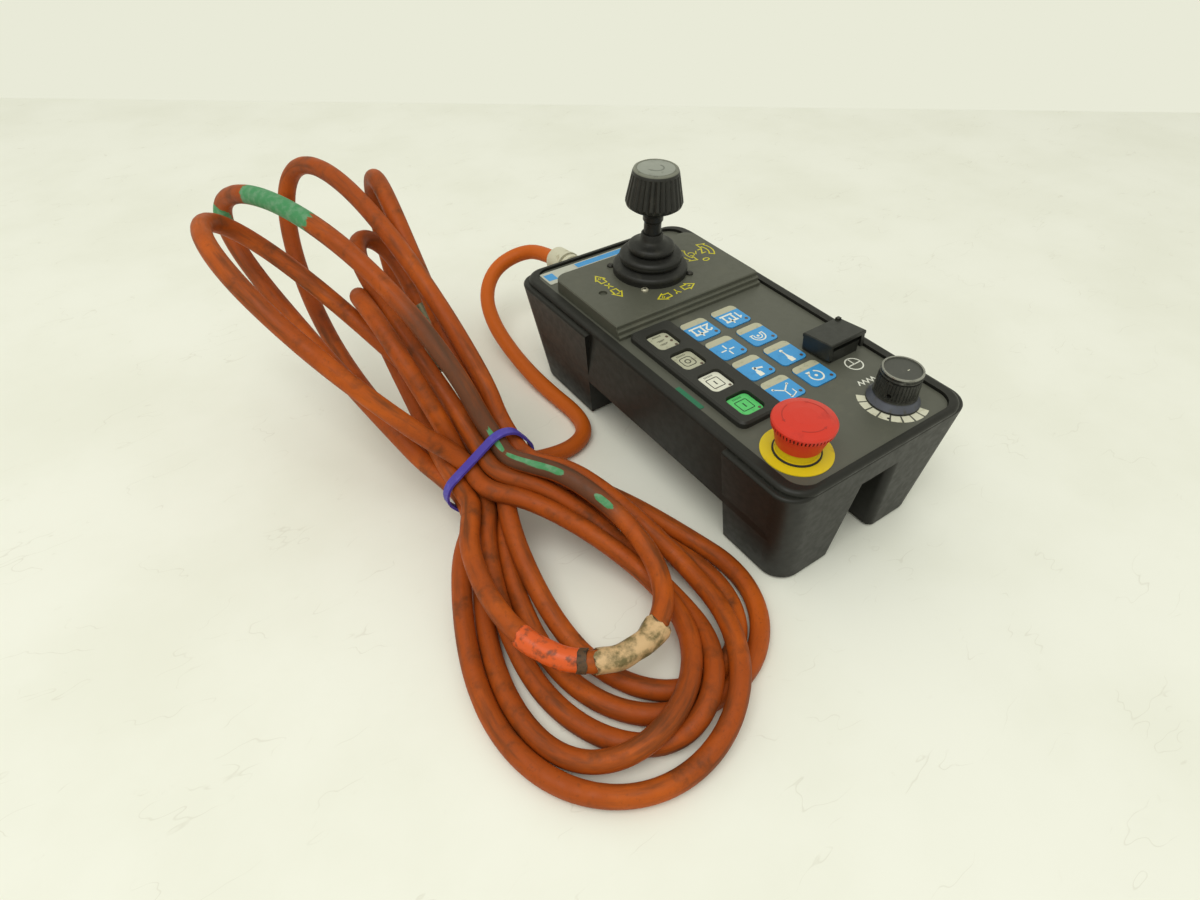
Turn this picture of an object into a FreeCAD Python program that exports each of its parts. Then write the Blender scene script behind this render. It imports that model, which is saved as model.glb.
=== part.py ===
import FreeCAD, Part
import math
import os

V = FreeCAD.Vector

# The hand controller of a coordinate measuring machine, in millimetres.
# The origin is on the floor under the middle of the housing, +Z is up,
# +Y points to the joystick and cable end, -X is the side with the push buttons.

# Housing
RIM_X = 73.0            # half width over the rim between the legs
RIM_Y = 137.0           # half length over the rim
RIM_Z = 84.0            # top of the rim
RIM_CORNER = 16.0
RIM_BEAD = 2.6          # rounding of the rim's outer edge
TRAY_Z = 37.0           # underside of the tray between the legs
TRAY_X = 69.5
TRAY_FRONT = 133.0
TRAY_BACK = 130.0
LEG_X = 77.0            # half width over the legs at their top
LEG_Z = 81.0            # top of the legs, just under the rim
LEG_ROUND = 1.6         # rounding of the legs' top edge
FOOT_X = 62.0           # half width over the feet on the floor
FOOT_FRONT = 132.0
FOOT_BACK = 128.0
LEG_CORNER = 15.0       # rounding of the legs' outer corners
FOOT_CHAMFER = 2.0
FRONT_LEG_END = -84.0   # where the front legs end and the grip begins
BACK_LEG_TOP = 48.0     # where the back legs begin under the rim
BACK_LEG_FOOT = 61.0    # and on the floor
GAP_FOOT = 18.2         # half of the gap between left and right feet
GAP_SLOPE = 0.104       # how much narrower each side of the gap gets going up
NOTCH_Z = 63.5          # top of the gap between the front legs
NOTCH_ROUND = 5.0
WALL = 3.0

# Front panel and its film
PANEL_X = 65.0
PANEL_Y = 132.2
PANEL_CORNER = 12.0
PANEL_GAP = 0.3
PANEL_BASE = 79.6
PANEL_FACE = 81.6
FILM_FACE = 82.0
LEDGE = 3.3             # how far the ledge reaches under the panel
PANEL_SCREWS = [(-57.0, -78.0), (57.0, -78.0), (-57.0, 38.0), (57.0, 38.0), (0.0, 121.0), (0.0, -112.0)]

# Joystick
STICK_X = 0.0
STICK_Y = 79.0
STICK_PIVOT = 66.0
STICK_SHAFT = 6.0
STICK_HOLE = 18.0
PLATE_X = 62.0
PLATE_FRONT = 30.0
PLATE_BACK = 110.0
PLATE_TOP = 91.0
PLATE_STEPS = 3
PLATE_STEP_DEPTH = 2.2
PLATE_SHELL = 2.5
PLATE_SCREW = 20.0      # half pitch of the four screws round the stick
GIMBAL_BOX = 26.0       # half width of the mechanism's box
TWIST_BASE = 139.0
TWIST_TOP = 165.0
TWIST_FLUTES = 28

# Push buttons in their bezel
BUTTON_X = -41.7
BUTTON_ROWS = [11.2, -13.4, -39.2, -64.5]
BUTTON_W = 17.1
BUTTON_L = 18.1
BUTTON_CORNER = 3.6
BUTTON_TOP = 84.4
BEZEL = (-56.5, -23.5, -79.0, 29.0)
BEZEL_TOP = 86.5

# Membrane keys
KEY_W = 20.5
KEY_L = 21.0
KEY_COLUMNS = [-10.25, 16.75]
KEY_FIRST_ROW = 11.0
KEY_PITCH = 25.2
KEY_ROWS = 4
KEY_CORNER = 3.4
KEY_BASE = 81.0
KEY_TOP = 82.6
SLIDE_GAP = 0.3         # room round each key and button

# Rocker switch
ROCKER_X = 45.5
ROCKER_Y = -52.5
ROCKER_W = 32.0
ROCKER_L = 21.0
ROCKER_PIN_Z = 89.5
ROCKER_TOP = 95.2       # top of the paddle when it is level
ROCKER_CHEEK = 2.9      # thickness of the paddle's side walls
ROCKER_TILT = 7.0       # degrees, front end up as it rests

# Emergency stop button
STOP_X = -42.9
STOP_Y = -107.6
STOP_RING = 20.4
STOP_HEAD = 17.9
STOP_RIDGES = 54
STOP_BARREL = 11.1
STOP_COLLAR = 92.0      # top of the collar inside the head
STOP_SKIRT = 89.0       # lower edge of the head

# Override knob
DIAL_X = 36.9
DIAL_Y = -108.3
DIAL_SCREW_ANGLE = 197.0
DIAL_KNURLS = 40
DIAL_SHOULDER = 101.6   # where the bright ring and the cap sit on the knob

# Cable gland on the back wall
GLAND_X = -22.0
GLAND_Z = 69.0
BACK_DRAFT = (RIM_Y - FOOT_BACK) / LEG_Z
GLAND_Y = RIM_Y - BACK_DRAFT * (LEG_Z - GLAND_Z)
GLAND_TILT = math.degrees(math.atan(BACK_DRAFT))
GLAND_LENGTH = 34.0

# Cable
CABLE = 11.5
LEAD_ROUTE = [
    (-22.0, 145.61, 67.9), (-22.0, 189.34, 63.04), (-35.0, 207.0, 57.0), (-58.0, 208.0, 49.0),
    (-76.0, 192.0, 38.0), (-82.5, 168.0, 26.0), (-82.0, 141.0, 15.0), (-80.0, 113.0, 8.0),
    (-78.0, 86.0, 6.2), (-76.0, 61.0, 6.4), (-81.0, 41.0, 6.2), (-97.0, 32.0, 6.3),
    (-117.0, 33.0, 7.0), (-138.0, 36.0, 11.0), (-160.0, 34.0, 20.0)]
LEAD_ARC = 0.45         # share of the shorter run that each bend takes up
HANK_WAIST = (-172.0, 12.0, 40.0)
HANK_WAIST_W = 29.0     # half width and half height of the bundle at the band
HANK_WAIST_H = 17.5
HANK_WAIST_CORNER = 13.0
HANK_WAIST_LEAN = 34.0  # degrees that its +X side is raised
HANK_WAIST_R = 27.0
HANK_FRONT = (-159.0, -109.0)
HANK_FRONT_R = 84.0
HANK_FRONT_Z = 34.0
HANK_BACK_REACH = 190.0
HANK_BACK_R = 60.0
HANK_BACK_RISE = 25.5   # degrees that the back loops rise from the floor
HANK_BACK_TURN = 10.0   # degrees that they swing towards -X
HANK_BACK_T = 62.0
BAND_W = 5.5
BAND_T = 1.6
PLUG_PLACE = (-153.0, 129.8, 88.2)
PLUG_DROP = 31.5        # degrees that the plug points down towards the band
PLUG_LENGTH = 44.0
PLUG_ROOM = 12.5


# Basic shapes

def box(x0, x1, y0, y1, z0, z1):
    return Part.makeBox(x1 - x0, y1 - y0, z1 - z0, V(x0, y0, z0))


def disc(x, y, radius, z0, z1):
    return Part.makeCylinder(radius, z1 - z0, V(x, y, z0))


def bar(start, end, radius):
    along = end.sub(start)
    return Part.makeCylinder(radius, along.Length, start, along)


def rounded_wire(x0, x1, y0, y1, corner, z):
    """A rectangle with round corners, as lines and arcs at one height."""
    k = corner * (1 - math.sqrt(0.5))
    sides = [
        (V(x0 + corner, y0, z), V(x1 - corner, y0, z)), (V(x1, y0 + corner, z), V(x1, y1 - corner, z)),
        (V(x1 - corner, y1, z), V(x0 + corner, y1, z)), (V(x0, y1 - corner, z), V(x0, y0 + corner, z))]
    bends = [V(x1 - k, y0 + k, z), V(x1 - k, y1 - k, z), V(x0 + k, y1 - k, z), V(x0 + k, y0 + k, z)]
    edges = []
    for i, (start, end) in enumerate(sides):
        edges.append(Part.makeLine(start, end))
        edges.append(Part.Arc(end, bends[i], sides[(i + 1) % 4][0]).toShape())
    return Part.Wire(edges)


def rounded_plate(x0, x1, y0, y1, z0, z1, corner):
    return Part.Face(rounded_wire(x0, x1, y0, y1, corner, z0)).extrude(V(0, 0, z1 - z0))


def centred_box(x, y, width, length, z0, z1):
    return box(x - width / 2, x + width / 2, y - length / 2, y + length / 2, z0, z1)


def centred_plate(x, y, width, length, z0, z1, corner):
    return rounded_plate(x - width / 2, x + width / 2, y - length / 2, y + length / 2, z0, z1, corner)


def tapered_block(top, bottom, corner):
    """A block with flat sloping sides between two rectangles, its four upright edges rounded.

    Each rectangle is given as x0, x1, y0, y1 and its height.
    """
    x0, x1, y0, y1, low = bottom
    top_x0, top_x1, top_y0, top_y1, high = top
    block = Part.makeWedge(x0, low, -y1, -top_y1, top_x0, x1, high, -y0, -top_y0, top_x1)
    block.rotate(V(0, 0, 0), V(1, 0, 0), 90)
    return rounded_edges(block, corner, lambda edge: edge.BoundBox.ZLength > 1)


def prism(points, along):
    return Part.Face(Part.makePolygon(points + points[:1])).extrude(along)


def turned(profile, x=0.0, y=0.0):
    """A solid of revolution about the upright line through x, y from (radius, height) points."""
    points = [V(x + radius, y, z) for radius, z in profile]
    return Part.Face(Part.makePolygon(points + points[:1])).revolve(V(x, y, 0), V(0, 0, 1), 360)


def grooves_round(x, y, count, low, high, depth, half_width):
    """V grooves round an upright axis, each along the line from low to high as (radius, height)."""
    grooves = []
    for i in range(count):
        angle = 2 * math.pi * i / count
        out = V(math.cos(angle), math.sin(angle), 0)
        across = V(-out.y, out.x, 0) * (1.5 * half_width)
        foot = V(x, y, low[1]) + out * low[0]
        rim = foot + out * (depth / 2)
        along = out * (high[0] - low[0]) + V(0, 0, high[1] - low[1])
        grooves.append(prism([foot - out * depth, rim + across, rim - across], along))
    return Part.makeCompound(grooves)


def hexagon(x, y, across_flats, z0, z1):
    radius = across_flats / math.sqrt(3)
    angles = [math.radians(60 * i) for i in range(6)]
    corners = [V(x + radius * math.cos(a), y + radius * math.sin(a), z0) for a in angles]
    return prism(corners, V(0, 0, z1 - z0))


def joined(shapes):
    return shapes[0].multiFuse(shapes[1:]).removeSplitter()


def rounded_edges(shape, radius, chosen):
    """Fillets the edges for which chosen(edge) is true."""
    return shape.makeFillet(radius, [edge for edge in shape.Edges if chosen(edge)])


# Housing

def leg_block(inset):
    top = (inset - LEG_X, LEG_X - inset, inset - RIM_Y, RIM_Y - inset, LEG_Z)
    foot = (inset - FOOT_X, FOOT_X - inset, inset - FOOT_FRONT, FOOT_BACK - inset, inset)
    block = tapered_block(top, foot, LEG_CORNER - inset)
    if inset:
        return block
    return rounded_edges(block, LEG_ROUND, lambda edge: edge.BoundBox.ZMin > LEG_Z - 0.01)


def tray_block(inset):
    rim = (inset - RIM_X, RIM_X - inset, inset - RIM_Y, RIM_Y - inset, RIM_Z)
    low = (inset - TRAY_X, TRAY_X - inset, inset - TRAY_FRONT, TRAY_BACK - inset, TRAY_Z + inset)
    block = tapered_block(rim, low, RIM_CORNER - inset)
    if inset:
        return block
    return rounded_edges(block, RIM_BEAD, lambda edge: edge.BoundBox.ZMin > RIM_Z - 0.01)


def grip_gap(grow):
    """The space across the housing between front and back legs, where the hands hold it."""
    front = FRONT_LEG_END - grow
    points = [
        V(-RIM_Y, front, -1), V(-RIM_Y, front, RIM_Z + 1),
        V(-RIM_Y, BACK_LEG_TOP + grow, RIM_Z + 1), V(-RIM_Y, BACK_LEG_FOOT + grow, -1)]
    return prism(points, V(2 * RIM_Y, 0, 0))


def foot_gap(grow, top, y0, y1):
    """The tapered gap between the left and right legs, from y0 to y1 and up to a height."""
    low = GAP_FOOT + grow + GAP_SLOPE
    high = GAP_FOOT + grow - GAP_SLOPE * top
    points = [V(-low, y0, -1), V(low, y0, -1), V(high, y0, top), V(-high, y0, top)]
    return prism(points, V(0, y1 - y0, 0))


def housing_form(inset):
    legs = leg_block(inset).cut(grip_gap(inset))
    legs = legs.cut(foot_gap(inset, TRAY_Z + inset, -2 * RIM_Y, 2 * RIM_Y))
    form = legs.fuse(tray_block(inset))
    return form.cut(foot_gap(inset, NOTCH_Z + inset, -2 * RIM_Y, FRONT_LEG_END + inset)).removeSplitter()


def on_notch_front(edge):
    """The upright edges where the gap between the front legs meets their front face."""
    middle = edge.CenterOfMass
    beside = abs(abs(middle.x) - (GAP_FOOT - GAP_SLOPE * middle.z)) < 0.5
    return beside and middle.y < -TRAY_BACK and edge.BoundBox.ZLength > 5


def on_floor(edge):
    return edge.BoundBox.ZMax < 0.01


def housing_tub():
    form = rounded_edges(housing_form(0.0), NOTCH_ROUND, on_notch_front)
    form = form.makeChamfer(FOOT_CHAMFER, [edge for edge in form.Edges if on_floor(edge)])
    ledge_z = PANEL_BASE - WALL
    hollow = housing_form(WALL).common(box(-LEG_X, LEG_X, -RIM_Y, RIM_Y, 0, ledge_z))
    mouth_x = PANEL_X - LEDGE
    mouth_y = PANEL_Y - LEDGE
    mouth = rounded_plate(-mouth_x, mouth_x, -mouth_y, mouth_y, ledge_z, PANEL_BASE, PANEL_CORNER)
    seat_x = PANEL_X + PANEL_GAP
    seat_y = PANEL_Y + PANEL_GAP
    seat = rounded_plate(-seat_x, seat_x, -seat_y, seat_y, PANEL_BASE, RIM_Z + 1, PANEL_CORNER + PANEL_GAP)
    tub = form.cut(hollow).cut(mouth).cut(seat)
    return tub.fuse(screw_posts()).cut(screw_ways()).cut(gland_hole()).removeSplitter()


def post_floor(y):
    return NOTCH_Z if y < FRONT_LEG_END else TRAY_Z


def screw_posts():
    posts = [disc(x, y, 4.5, post_floor(y) + 1, PANEL_BASE) for x, y in PANEL_SCREWS]
    return Part.makeCompound(posts)


def screw_ways():
    """Counterbores from below and clear holes up to the panel."""
    ways = []
    for x, y in PANEL_SCREWS:
        ways.append(disc(x, y, 3.2, post_floor(y) - 1, 70.0))
        ways.append(disc(x, y, 1.6, 70.0, PANEL_BASE + 1))
    return Part.makeCompound(ways)


def panel_screws():
    screws = []
    for x, y in PANEL_SCREWS:
        screws.append(turned([(0, 67.2), (2.8, 67.2), (2.8, 70), (1.5, 70), (1.5, 81.2), (0, 81.2)], x, y))
    return Part.makeCompound(screws)


# Panel, film and labels

def key_centres():
    rows = [KEY_FIRST_ROW - KEY_PITCH * i for i in range(KEY_ROWS)]
    return [(x, y) for x in KEY_COLUMNS for y in rows]


def control_openings():
    """What passes through both the panel and its film, apart from the keys."""
    z0 = PANEL_BASE - 1
    z1 = FILM_FACE + 1
    openings = [disc(STICK_X, STICK_Y, STICK_HOLE, z0, z1), disc(STOP_X, STOP_Y, STOP_BARREL + 0.1, z0, z1)]
    openings.append(disc(DIAL_X, DIAL_Y, 4.6, z0, z1))
    openings.append(centred_box(ROCKER_X, ROCKER_Y, 25.6, 15.6, z0, z1))
    for y in BUTTON_ROWS:
        openings.append(centred_box(BUTTON_X, y, BUTTON_W + 2 * SLIDE_GAP, BUTTON_L + 2 * SLIDE_GAP, z0, z1))
    for x, y in plate_screw_places():
        openings.append(disc(x, y, 1.6, z0, z1))
    return openings


def front_panel():
    """The stiff panel, with square punched windows for the keys."""
    panel = rounded_plate(-PANEL_X, PANEL_X, -PANEL_Y, PANEL_Y, PANEL_BASE, PANEL_FACE, PANEL_CORNER)
    cuts = control_openings()
    for x, y in key_centres():
        cuts.append(centred_box(x, y, KEY_W + 1.0, KEY_L + 1.0, PANEL_BASE - 1, PANEL_FACE + 1))
    for x, y in PANEL_SCREWS:
        cuts.append(disc(x, y, 1.55, PANEL_BASE - 1, PANEL_FACE + 1))
    return panel.cut(Part.makeCompound(cuts))


def panel_overlay():
    """The film, with round-cornered windows for the keys."""
    film = rounded_plate(-PANEL_X, PANEL_X, -PANEL_Y, PANEL_Y, PANEL_FACE, FILM_FACE, PANEL_CORNER)
    cuts = control_openings()
    width = KEY_W + 2 * SLIDE_GAP
    length = KEY_L + 2 * SLIDE_GAP
    for x, y in key_centres():
        cuts.append(centred_plate(x, y, width, length, PANEL_BASE, FILM_FACE + 1, KEY_CORNER + SLIDE_GAP))
    return film.cut(Part.makeCompound(cuts))


def rear_label_strip():
    return rounded_plate(-61.5, 28.0, 113.5, 129.5, FILM_FACE, FILM_FACE + 0.3, 1.0)


def side_label_strip():
    return rounded_plate(-64.6, -60.4, -51.0, -28.0, FILM_FACE, FILM_FACE + 0.3, 0.5)


# Joystick

def plate_screw_places():
    return [(STICK_X + PLATE_SCREW * i, STICK_Y + PLATE_SCREW * j) for i in (-1, 1) for j in (-1, 1)]


def on_plate_corner(edge):
    """The upright edges at the back of the plate."""
    return edge.BoundBox.YMin > PLATE_BACK - 0.01 and edge.BoundBox.ZLength > 1


def joystick_plate():
    rise = (PLATE_TOP - FILM_FACE) / PLATE_STEPS
    lip = 0.7
    profile = [V(-PLATE_X, PLATE_BACK, FILM_FACE)]
    for i in range(PLATE_STEPS):
        y = PLATE_FRONT + PLATE_STEP_DEPTH * i
        z = FILM_FACE + rise * i
        profile += [V(-PLATE_X, y, z), V(-PLATE_X, y, z + rise - lip), V(-PLATE_X, y + lip, z + rise)]
    profile.append(V(-PLATE_X, PLATE_BACK, PLATE_TOP))
    plate = prism(profile, V(2 * PLATE_X, 0, 0))
    plate = plate.makeFillet(9.0, [edge for edge in plate.Edges if on_plate_corner(edge)])
    rim = [edge for edge in plate.Edges if edge.BoundBox.ZMin > PLATE_TOP - 0.01]
    plate = plate.makeChamfer(0.7, [edge for edge in rim if edge.BoundBox.YMax > PLATE_BACK / 2])
    inner = PLATE_X - PLATE_SHELL
    front = PLATE_FRONT + PLATE_STEP_DEPTH * PLATE_STEPS + PLATE_SHELL
    back = PLATE_BACK - PLATE_SHELL
    hollow = rounded_plate(-inner, inner, front, back, FILM_FACE - 1, PLATE_TOP - PLATE_SHELL, 6.5)
    holes = [disc(x, y, 1.6, FILM_FACE, PLATE_TOP + 1) for x, y in plate_screw_places()]
    holes.append(disc(STICK_X, STICK_Y, STICK_HOLE, FILM_FACE, PLATE_TOP + 1))
    holes.append(disc(-45.6, 72.2, 3.0, PLATE_TOP - 1.5, PLATE_TOP + 1))
    posts = [disc(x, y, 4.0, FILM_FACE, PLATE_TOP - PLATE_SHELL + 0.5) for x, y in plate_screw_places()]
    return plate.cut(hollow).fuse(Part.makeCompound(posts)).cut(Part.makeCompound(holes)).removeSplitter()


def joystick_plate_screws():
    screws = []
    seat = PLATE_TOP
    crown = seat + 1.6
    profile = [(0, 75), (1.5, 75), (1.5, seat), (2.6, seat), (2.6, seat + 0.9), (1.6, crown), (0, crown)]
    for x, y in plate_screw_places():
        screws.append(turned(profile, x, y))
    return Part.makeCompound(screws)


def joystick_boot():
    """A rubber bellows of three folds, thin walled, round the stick."""
    outer = [
        (25.4, 91.0), (25.6, 95.0), (24.4, 97.4), (20.6, 98.6), (22.0, 100.4), (22.0, 103.6), (20.6, 105.4),
        (15.2, 106.6), (16.3, 108.2), (16.3, 111.2), (14.8, 112.8), (8.6, 114.0), (7.7, 120.0)]
    inner = [
        (6.3, 120.0), (6.3, 113.2), (13.2, 111.6), (13.2, 105.6), (18.6, 103.6), (18.6, 97.4), (22.8, 95.4),
        (22.8, 91.0)]
    return turned(outer + inner, STICK_X, STICK_Y)


def joystick_housing():
    half = GIMBAL_BOX
    outer = centred_box(STICK_X, STICK_Y, 2 * half, 2 * half, 46.0, PANEL_BASE)
    room = half - WALL
    inner = centred_box(STICK_X, STICK_Y, 2 * room, 2 * room, 49.0, PANEL_BASE - WALL)
    holes = [disc(x, y, 1.55, 70, PANEL_BASE + 1) for x, y in plate_screw_places()]
    holes.append(disc(STICK_X, STICK_Y, STICK_HOLE, 70, PANEL_BASE + 1))
    holes.append(bar(V(-half - 1, STICK_Y, STICK_PIVOT), V(half + 1, STICK_Y, STICK_PIVOT), 2.55))
    return outer.cut(inner).cut(Part.makeCompound(holes))


def gimbal_ring():
    half = 4.0
    profile = [(12.5, -half), (17.0, -half), (17.0, half), (12.5, half)]
    ring = turned([(r, STICK_PIVOT + z) for r, z in profile], STICK_X, STICK_Y)
    for side in (-1, 1):
        inner = V(14.5 * side, STICK_Y, STICK_PIVOT)
        ring = ring.fuse(bar(inner, V((GIMBAL_BOX - 0.5) * side, STICK_Y, STICK_PIVOT), 2.5))
    cross_hole = bar(V(0, STICK_Y - 20, STICK_PIVOT), V(0, STICK_Y + 20, STICK_PIVOT), 2.05)
    return ring.cut(cross_hole).removeSplitter()


def stick_shaft():
    top = TWIST_TOP - 7.5
    profile = [
        (0, 52), (3, 52), (3, 58), (9, 61), (9, 71), (STICK_SHAFT, 74), (STICK_SHAFT, 128.0), (7.0, 129.5),
        (7.0, 132.5), (STICK_SHAFT, 134.0), (STICK_SHAFT, top), (0, top)]
    pin = bar(V(0, STICK_Y - 16.8, STICK_PIVOT), V(0, STICK_Y + 16.8, STICK_PIVOT), 2.0)
    return turned(profile, STICK_X, STICK_Y).fuse(pin).removeSplitter()


def twist_knob():
    bore = STICK_SHAFT + 0.05
    profile = [
        (bore, TWIST_BASE), (16.6, TWIST_BASE), (18.8, TWIST_BASE + 1.6), (19.5, TWIST_BASE + 4.0),
        (15.6, TWIST_TOP - 2.6), (14.8, TWIST_TOP - 0.7), (13.6, TWIST_TOP), (12.6, TWIST_TOP - 0.6),
        (0, TWIST_TOP - 0.6), (0, TWIST_TOP - 7.2), (bore, TWIST_TOP - 7.2)]
    knob = turned(profile, STICK_X, STICK_Y)
    low = (19.9, TWIST_BASE + 1.0)
    high = (15.8, TWIST_TOP - 3.2)
    return knob.cut(grooves_round(STICK_X, STICK_Y, TWIST_FLUTES, low, high, 1.0, 1.3))


def joystick_pots():
    """One sensor on each tilt axis, against the outside of the mechanism's box."""
    side = GIMBAL_BOX
    pots = []
    for out in (V(1, 0, 0), V(0, -1, 0)):
        foot = V(STICK_X, STICK_Y, STICK_PIVOT) + out * side
        pots.append(bar(foot, foot + out * 8.0, 8.5).fuse(bar(foot, foot + out * 11.0, 3.0)))
    return Part.makeCompound(pots)


# Push buttons

def button_bezel():
    x0, x1, y0, y1 = BEZEL
    bezel = rounded_plate(x0, x1, y0, y1, FILM_FACE, BEZEL_TOP, 5.0)
    bezel = bezel.makeChamfer(1.2, [edge for edge in bezel.Edges if edge.BoundBox.ZMin > BEZEL_TOP - 0.01])
    gap = 2 * SLIDE_GAP
    corner = BUTTON_CORNER + SLIDE_GAP
    windows = [
        centred_plate(BUTTON_X, y, BUTTON_W + gap, BUTTON_L + gap, FILM_FACE - 1, BEZEL_TOP + 1, corner)
        for y in BUTTON_ROWS]
    return bezel.cut(Part.makeCompound(windows))


def push_button(y):
    cap = centred_plate(BUTTON_X, y, BUTTON_W, BUTTON_L, 70.0, BUTTON_TOP, BUTTON_CORNER)
    return cap.makeChamfer(0.4, [edge for edge in cap.Edges if edge.BoundBox.ZMin > BUTTON_TOP - 0.01])


def button_housings():
    """Square sleeves behind the panel that guide the buttons and hold their contacts."""
    sleeves = []
    for y in BUTTON_ROWS:
        sleeve = centred_box(BUTTON_X, y, 20.4, 21.4, 60.0, PANEL_BASE)
        gap = 2 * SLIDE_GAP
        sleeves.append(sleeve.cut(centred_box(BUTTON_X, y, BUTTON_W + gap, BUTTON_L + gap, 63.0, 90.0)))
    return Part.makeCompound(sleeves)


# Membrane keys

def membrane_key(x, y):
    return centred_plate(x, y, KEY_W, KEY_L, KEY_BASE, KEY_TOP, KEY_CORNER)


def keypad_board():
    return rounded_plate(-23.0, 29.5, -79.0, 25.0, PANEL_BASE - 1.6, PANEL_BASE, 1.5)


def key_domes():
    domes = []
    for x, y in key_centres():
        domes.append(Part.makeCone(5.0, 3.6, 0.5, V(x, y, PANEL_BASE)))
    return Part.makeCompound(domes)


# Rocker switch

def rocker_frame():
    """A base with a raised rim round a bearing block, which stands between the paddle's cheeks."""
    width = ROCKER_W - 2 * (ROCKER_CHEEK + SLIDE_GAP)
    base = centred_plate(ROCKER_X, ROCKER_Y, width, ROCKER_L, FILM_FACE, ROCKER_PIN_Z + 0.9, 1.2)
    base = base.cut(centred_box(ROCKER_X, ROCKER_Y, width - 4, ROCKER_L - 4, 84.0, 90.0))
    block = centred_box(ROCKER_X, ROCKER_Y, width, 9.0, FILM_FACE, ROCKER_PIN_Z + 2.1)
    return base.fuse(block).cut(rocker_axle(1.2)).removeSplitter()


def rocker_axle(radius):
    reach = ROCKER_W / 2 - 0.4
    middle = V(ROCKER_X, ROCKER_Y, ROCKER_PIN_Z)
    return bar(middle - V(reach, 0, 0), middle + V(reach, 0, 0), radius)


def rocker_paddle():
    """A cap with a cheek at each end and a small lug, at rest with its front end tipped up about the pin."""
    half = ROCKER_W / 2
    roof = ROCKER_PIN_Z + 3.1
    foot = ROCKER_PIN_Z - 5.6
    cap = centred_box(ROCKER_X, ROCKER_Y, ROCKER_W, ROCKER_L + 2.2, roof, ROCKER_TOP)
    cap = cap.makeChamfer(0.6, [edge for edge in cap.Edges if edge.BoundBox.ZMin > ROCKER_TOP - 0.01])
    parts = [cap]
    for side in (-1, 1):
        x = ROCKER_X + side * (half - ROCKER_CHEEK / 2)
        parts.append(centred_box(x, ROCKER_Y, ROCKER_CHEEK, ROCKER_L + 1.0, foot, roof))
    lug = V(ROCKER_X + half - 2.4, ROCKER_Y + ROCKER_L / 2 - 1.4, ROCKER_TOP)
    parts.append(centred_box(lug.x, lug.y, 3.0, 2.6, lug.z - 1, lug.z + 1.2))
    paddle = joined(parts).cut(rocker_axle(1.25))
    paddle.rotate(V(ROCKER_X, ROCKER_Y, ROCKER_PIN_Z), V(1, 0, 0), -ROCKER_TILT)
    return paddle


def rocker_switch_body():
    return centred_plate(ROCKER_X, ROCKER_Y, 25.0, 15.0, 62.0, FILM_FACE, 1.0)


# Emergency stop button

def estop_legend_ring():
    return turned([(STOP_BARREL + 0.1, FILM_FACE), (STOP_RING, FILM_FACE), (STOP_RING, FILM_FACE + 0.5),
                   (STOP_BARREL + 0.1, FILM_FACE + 0.5)], STOP_X, STOP_Y)


def estop_body():
    """Barrel through the panel with a collar on top that the head slides over."""
    base = FILM_FACE + 0.5
    profile = [
        (5.05, 70.0), (STOP_BARREL, 70.0), (STOP_BARREL, base), (12.9, base), (12.9, base + 0.9),
        (12.1, base + 0.9), (12.1, STOP_COLLAR), (11.2, STOP_COLLAR), (11.2, 82.0), (5.05, 82.0)]
    return turned(profile, STOP_X, STOP_Y)


def estop_head():
    """Mushroom head: a skirt over the collar, a ridged edge, a low dome and a hub for the stem."""
    roof = STOP_COLLAR + 4.5
    profile = [
        (12.5, STOP_SKIRT), (13.2, STOP_SKIRT), (15.9, 99.6), (17.5, 101.2), (STOP_HEAD, 103.6),
        (STOP_HEAD, 104.4), (17.2, 105.4), (13.0, 106.6), (7.0, 107.2), (0, 107.4), (0, 98.0), (4.0, 98.0),
        (4.0, 86.0), (8.0, 86.0), (8.0, roof), (12.5, roof)]
    head = turned(profile, STOP_X, STOP_Y)
    return head.cut(grooves_round(STOP_X, STOP_Y, STOP_RIDGES, (17.2, 99.8), (18.1, 103.5), 1.0, 0.6))


def estop_stem():
    profile = [(0, 62.0), (5.0, 62.0), (5.0, 85.95), (3.95, 85.95), (3.95, 97.9), (0, 97.9)]
    return turned(profile, STOP_X, STOP_Y)


def estop_nut():
    nut = hexagon(STOP_X, STOP_Y, 27.0, PANEL_BASE - 5, PANEL_BASE)
    return nut.cut(disc(STOP_X, STOP_Y, STOP_BARREL, 70, 90))


def estop_contact_block():
    block = centred_plate(STOP_X, STOP_Y, 27.0, 28.0, 46.0, 70.0, 2.0)
    return block.cut(disc(STOP_X, STOP_Y, 5.3, 57.0, 71.0))


# Override knob

def dial_direction(angle):
    return V(math.cos(math.radians(angle)), math.sin(math.radians(angle)), 0)


def grub_way(inner, outer, radius):
    middle = V(DIAL_X, DIAL_Y, 92.0)
    out = dial_direction(DIAL_SCREW_ANGLE)
    return bar(middle + out * inner, middle + out * outer, radius)


def override_knob():
    profile = [
        (9.0, 82.9), (15.6, 82.9), (15.8, 83.6), (13.4, 87.0), (12.9, 88.4), (12.5, 100.6), (11.6, 100.6),
        (11.6, DIAL_SHOULDER), (3.0, DIAL_SHOULDER), (3.0, 86.0), (9.0, 86.0)]
    knob = turned(profile, DIAL_X, DIAL_Y).cut(grub_way(2.0, 14.0, 1.6))
    return knob.cut(grooves_round(DIAL_X, DIAL_Y, DIAL_KNURLS, (12.85, 89.6), (12.5, 101.0), 0.45, 0.45))


def override_knob_ring():
    """The bright ring: a thin lower and upper edge with a waist between them."""
    low = DIAL_SHOULDER
    profile = [
        (11.0, low), (12.5, low), (12.5, low + 0.6), (11.9, low + 0.9), (11.9, low + 2.3), (12.3, low + 2.6),
        (12.1, low + 3.2), (11.0, low + 3.2)]
    return turned(profile, DIAL_X, DIAL_Y)


def override_knob_cap():
    return disc(DIAL_X, DIAL_Y, 11.0, DIAL_SHOULDER, DIAL_SHOULDER + 2.4)


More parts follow.
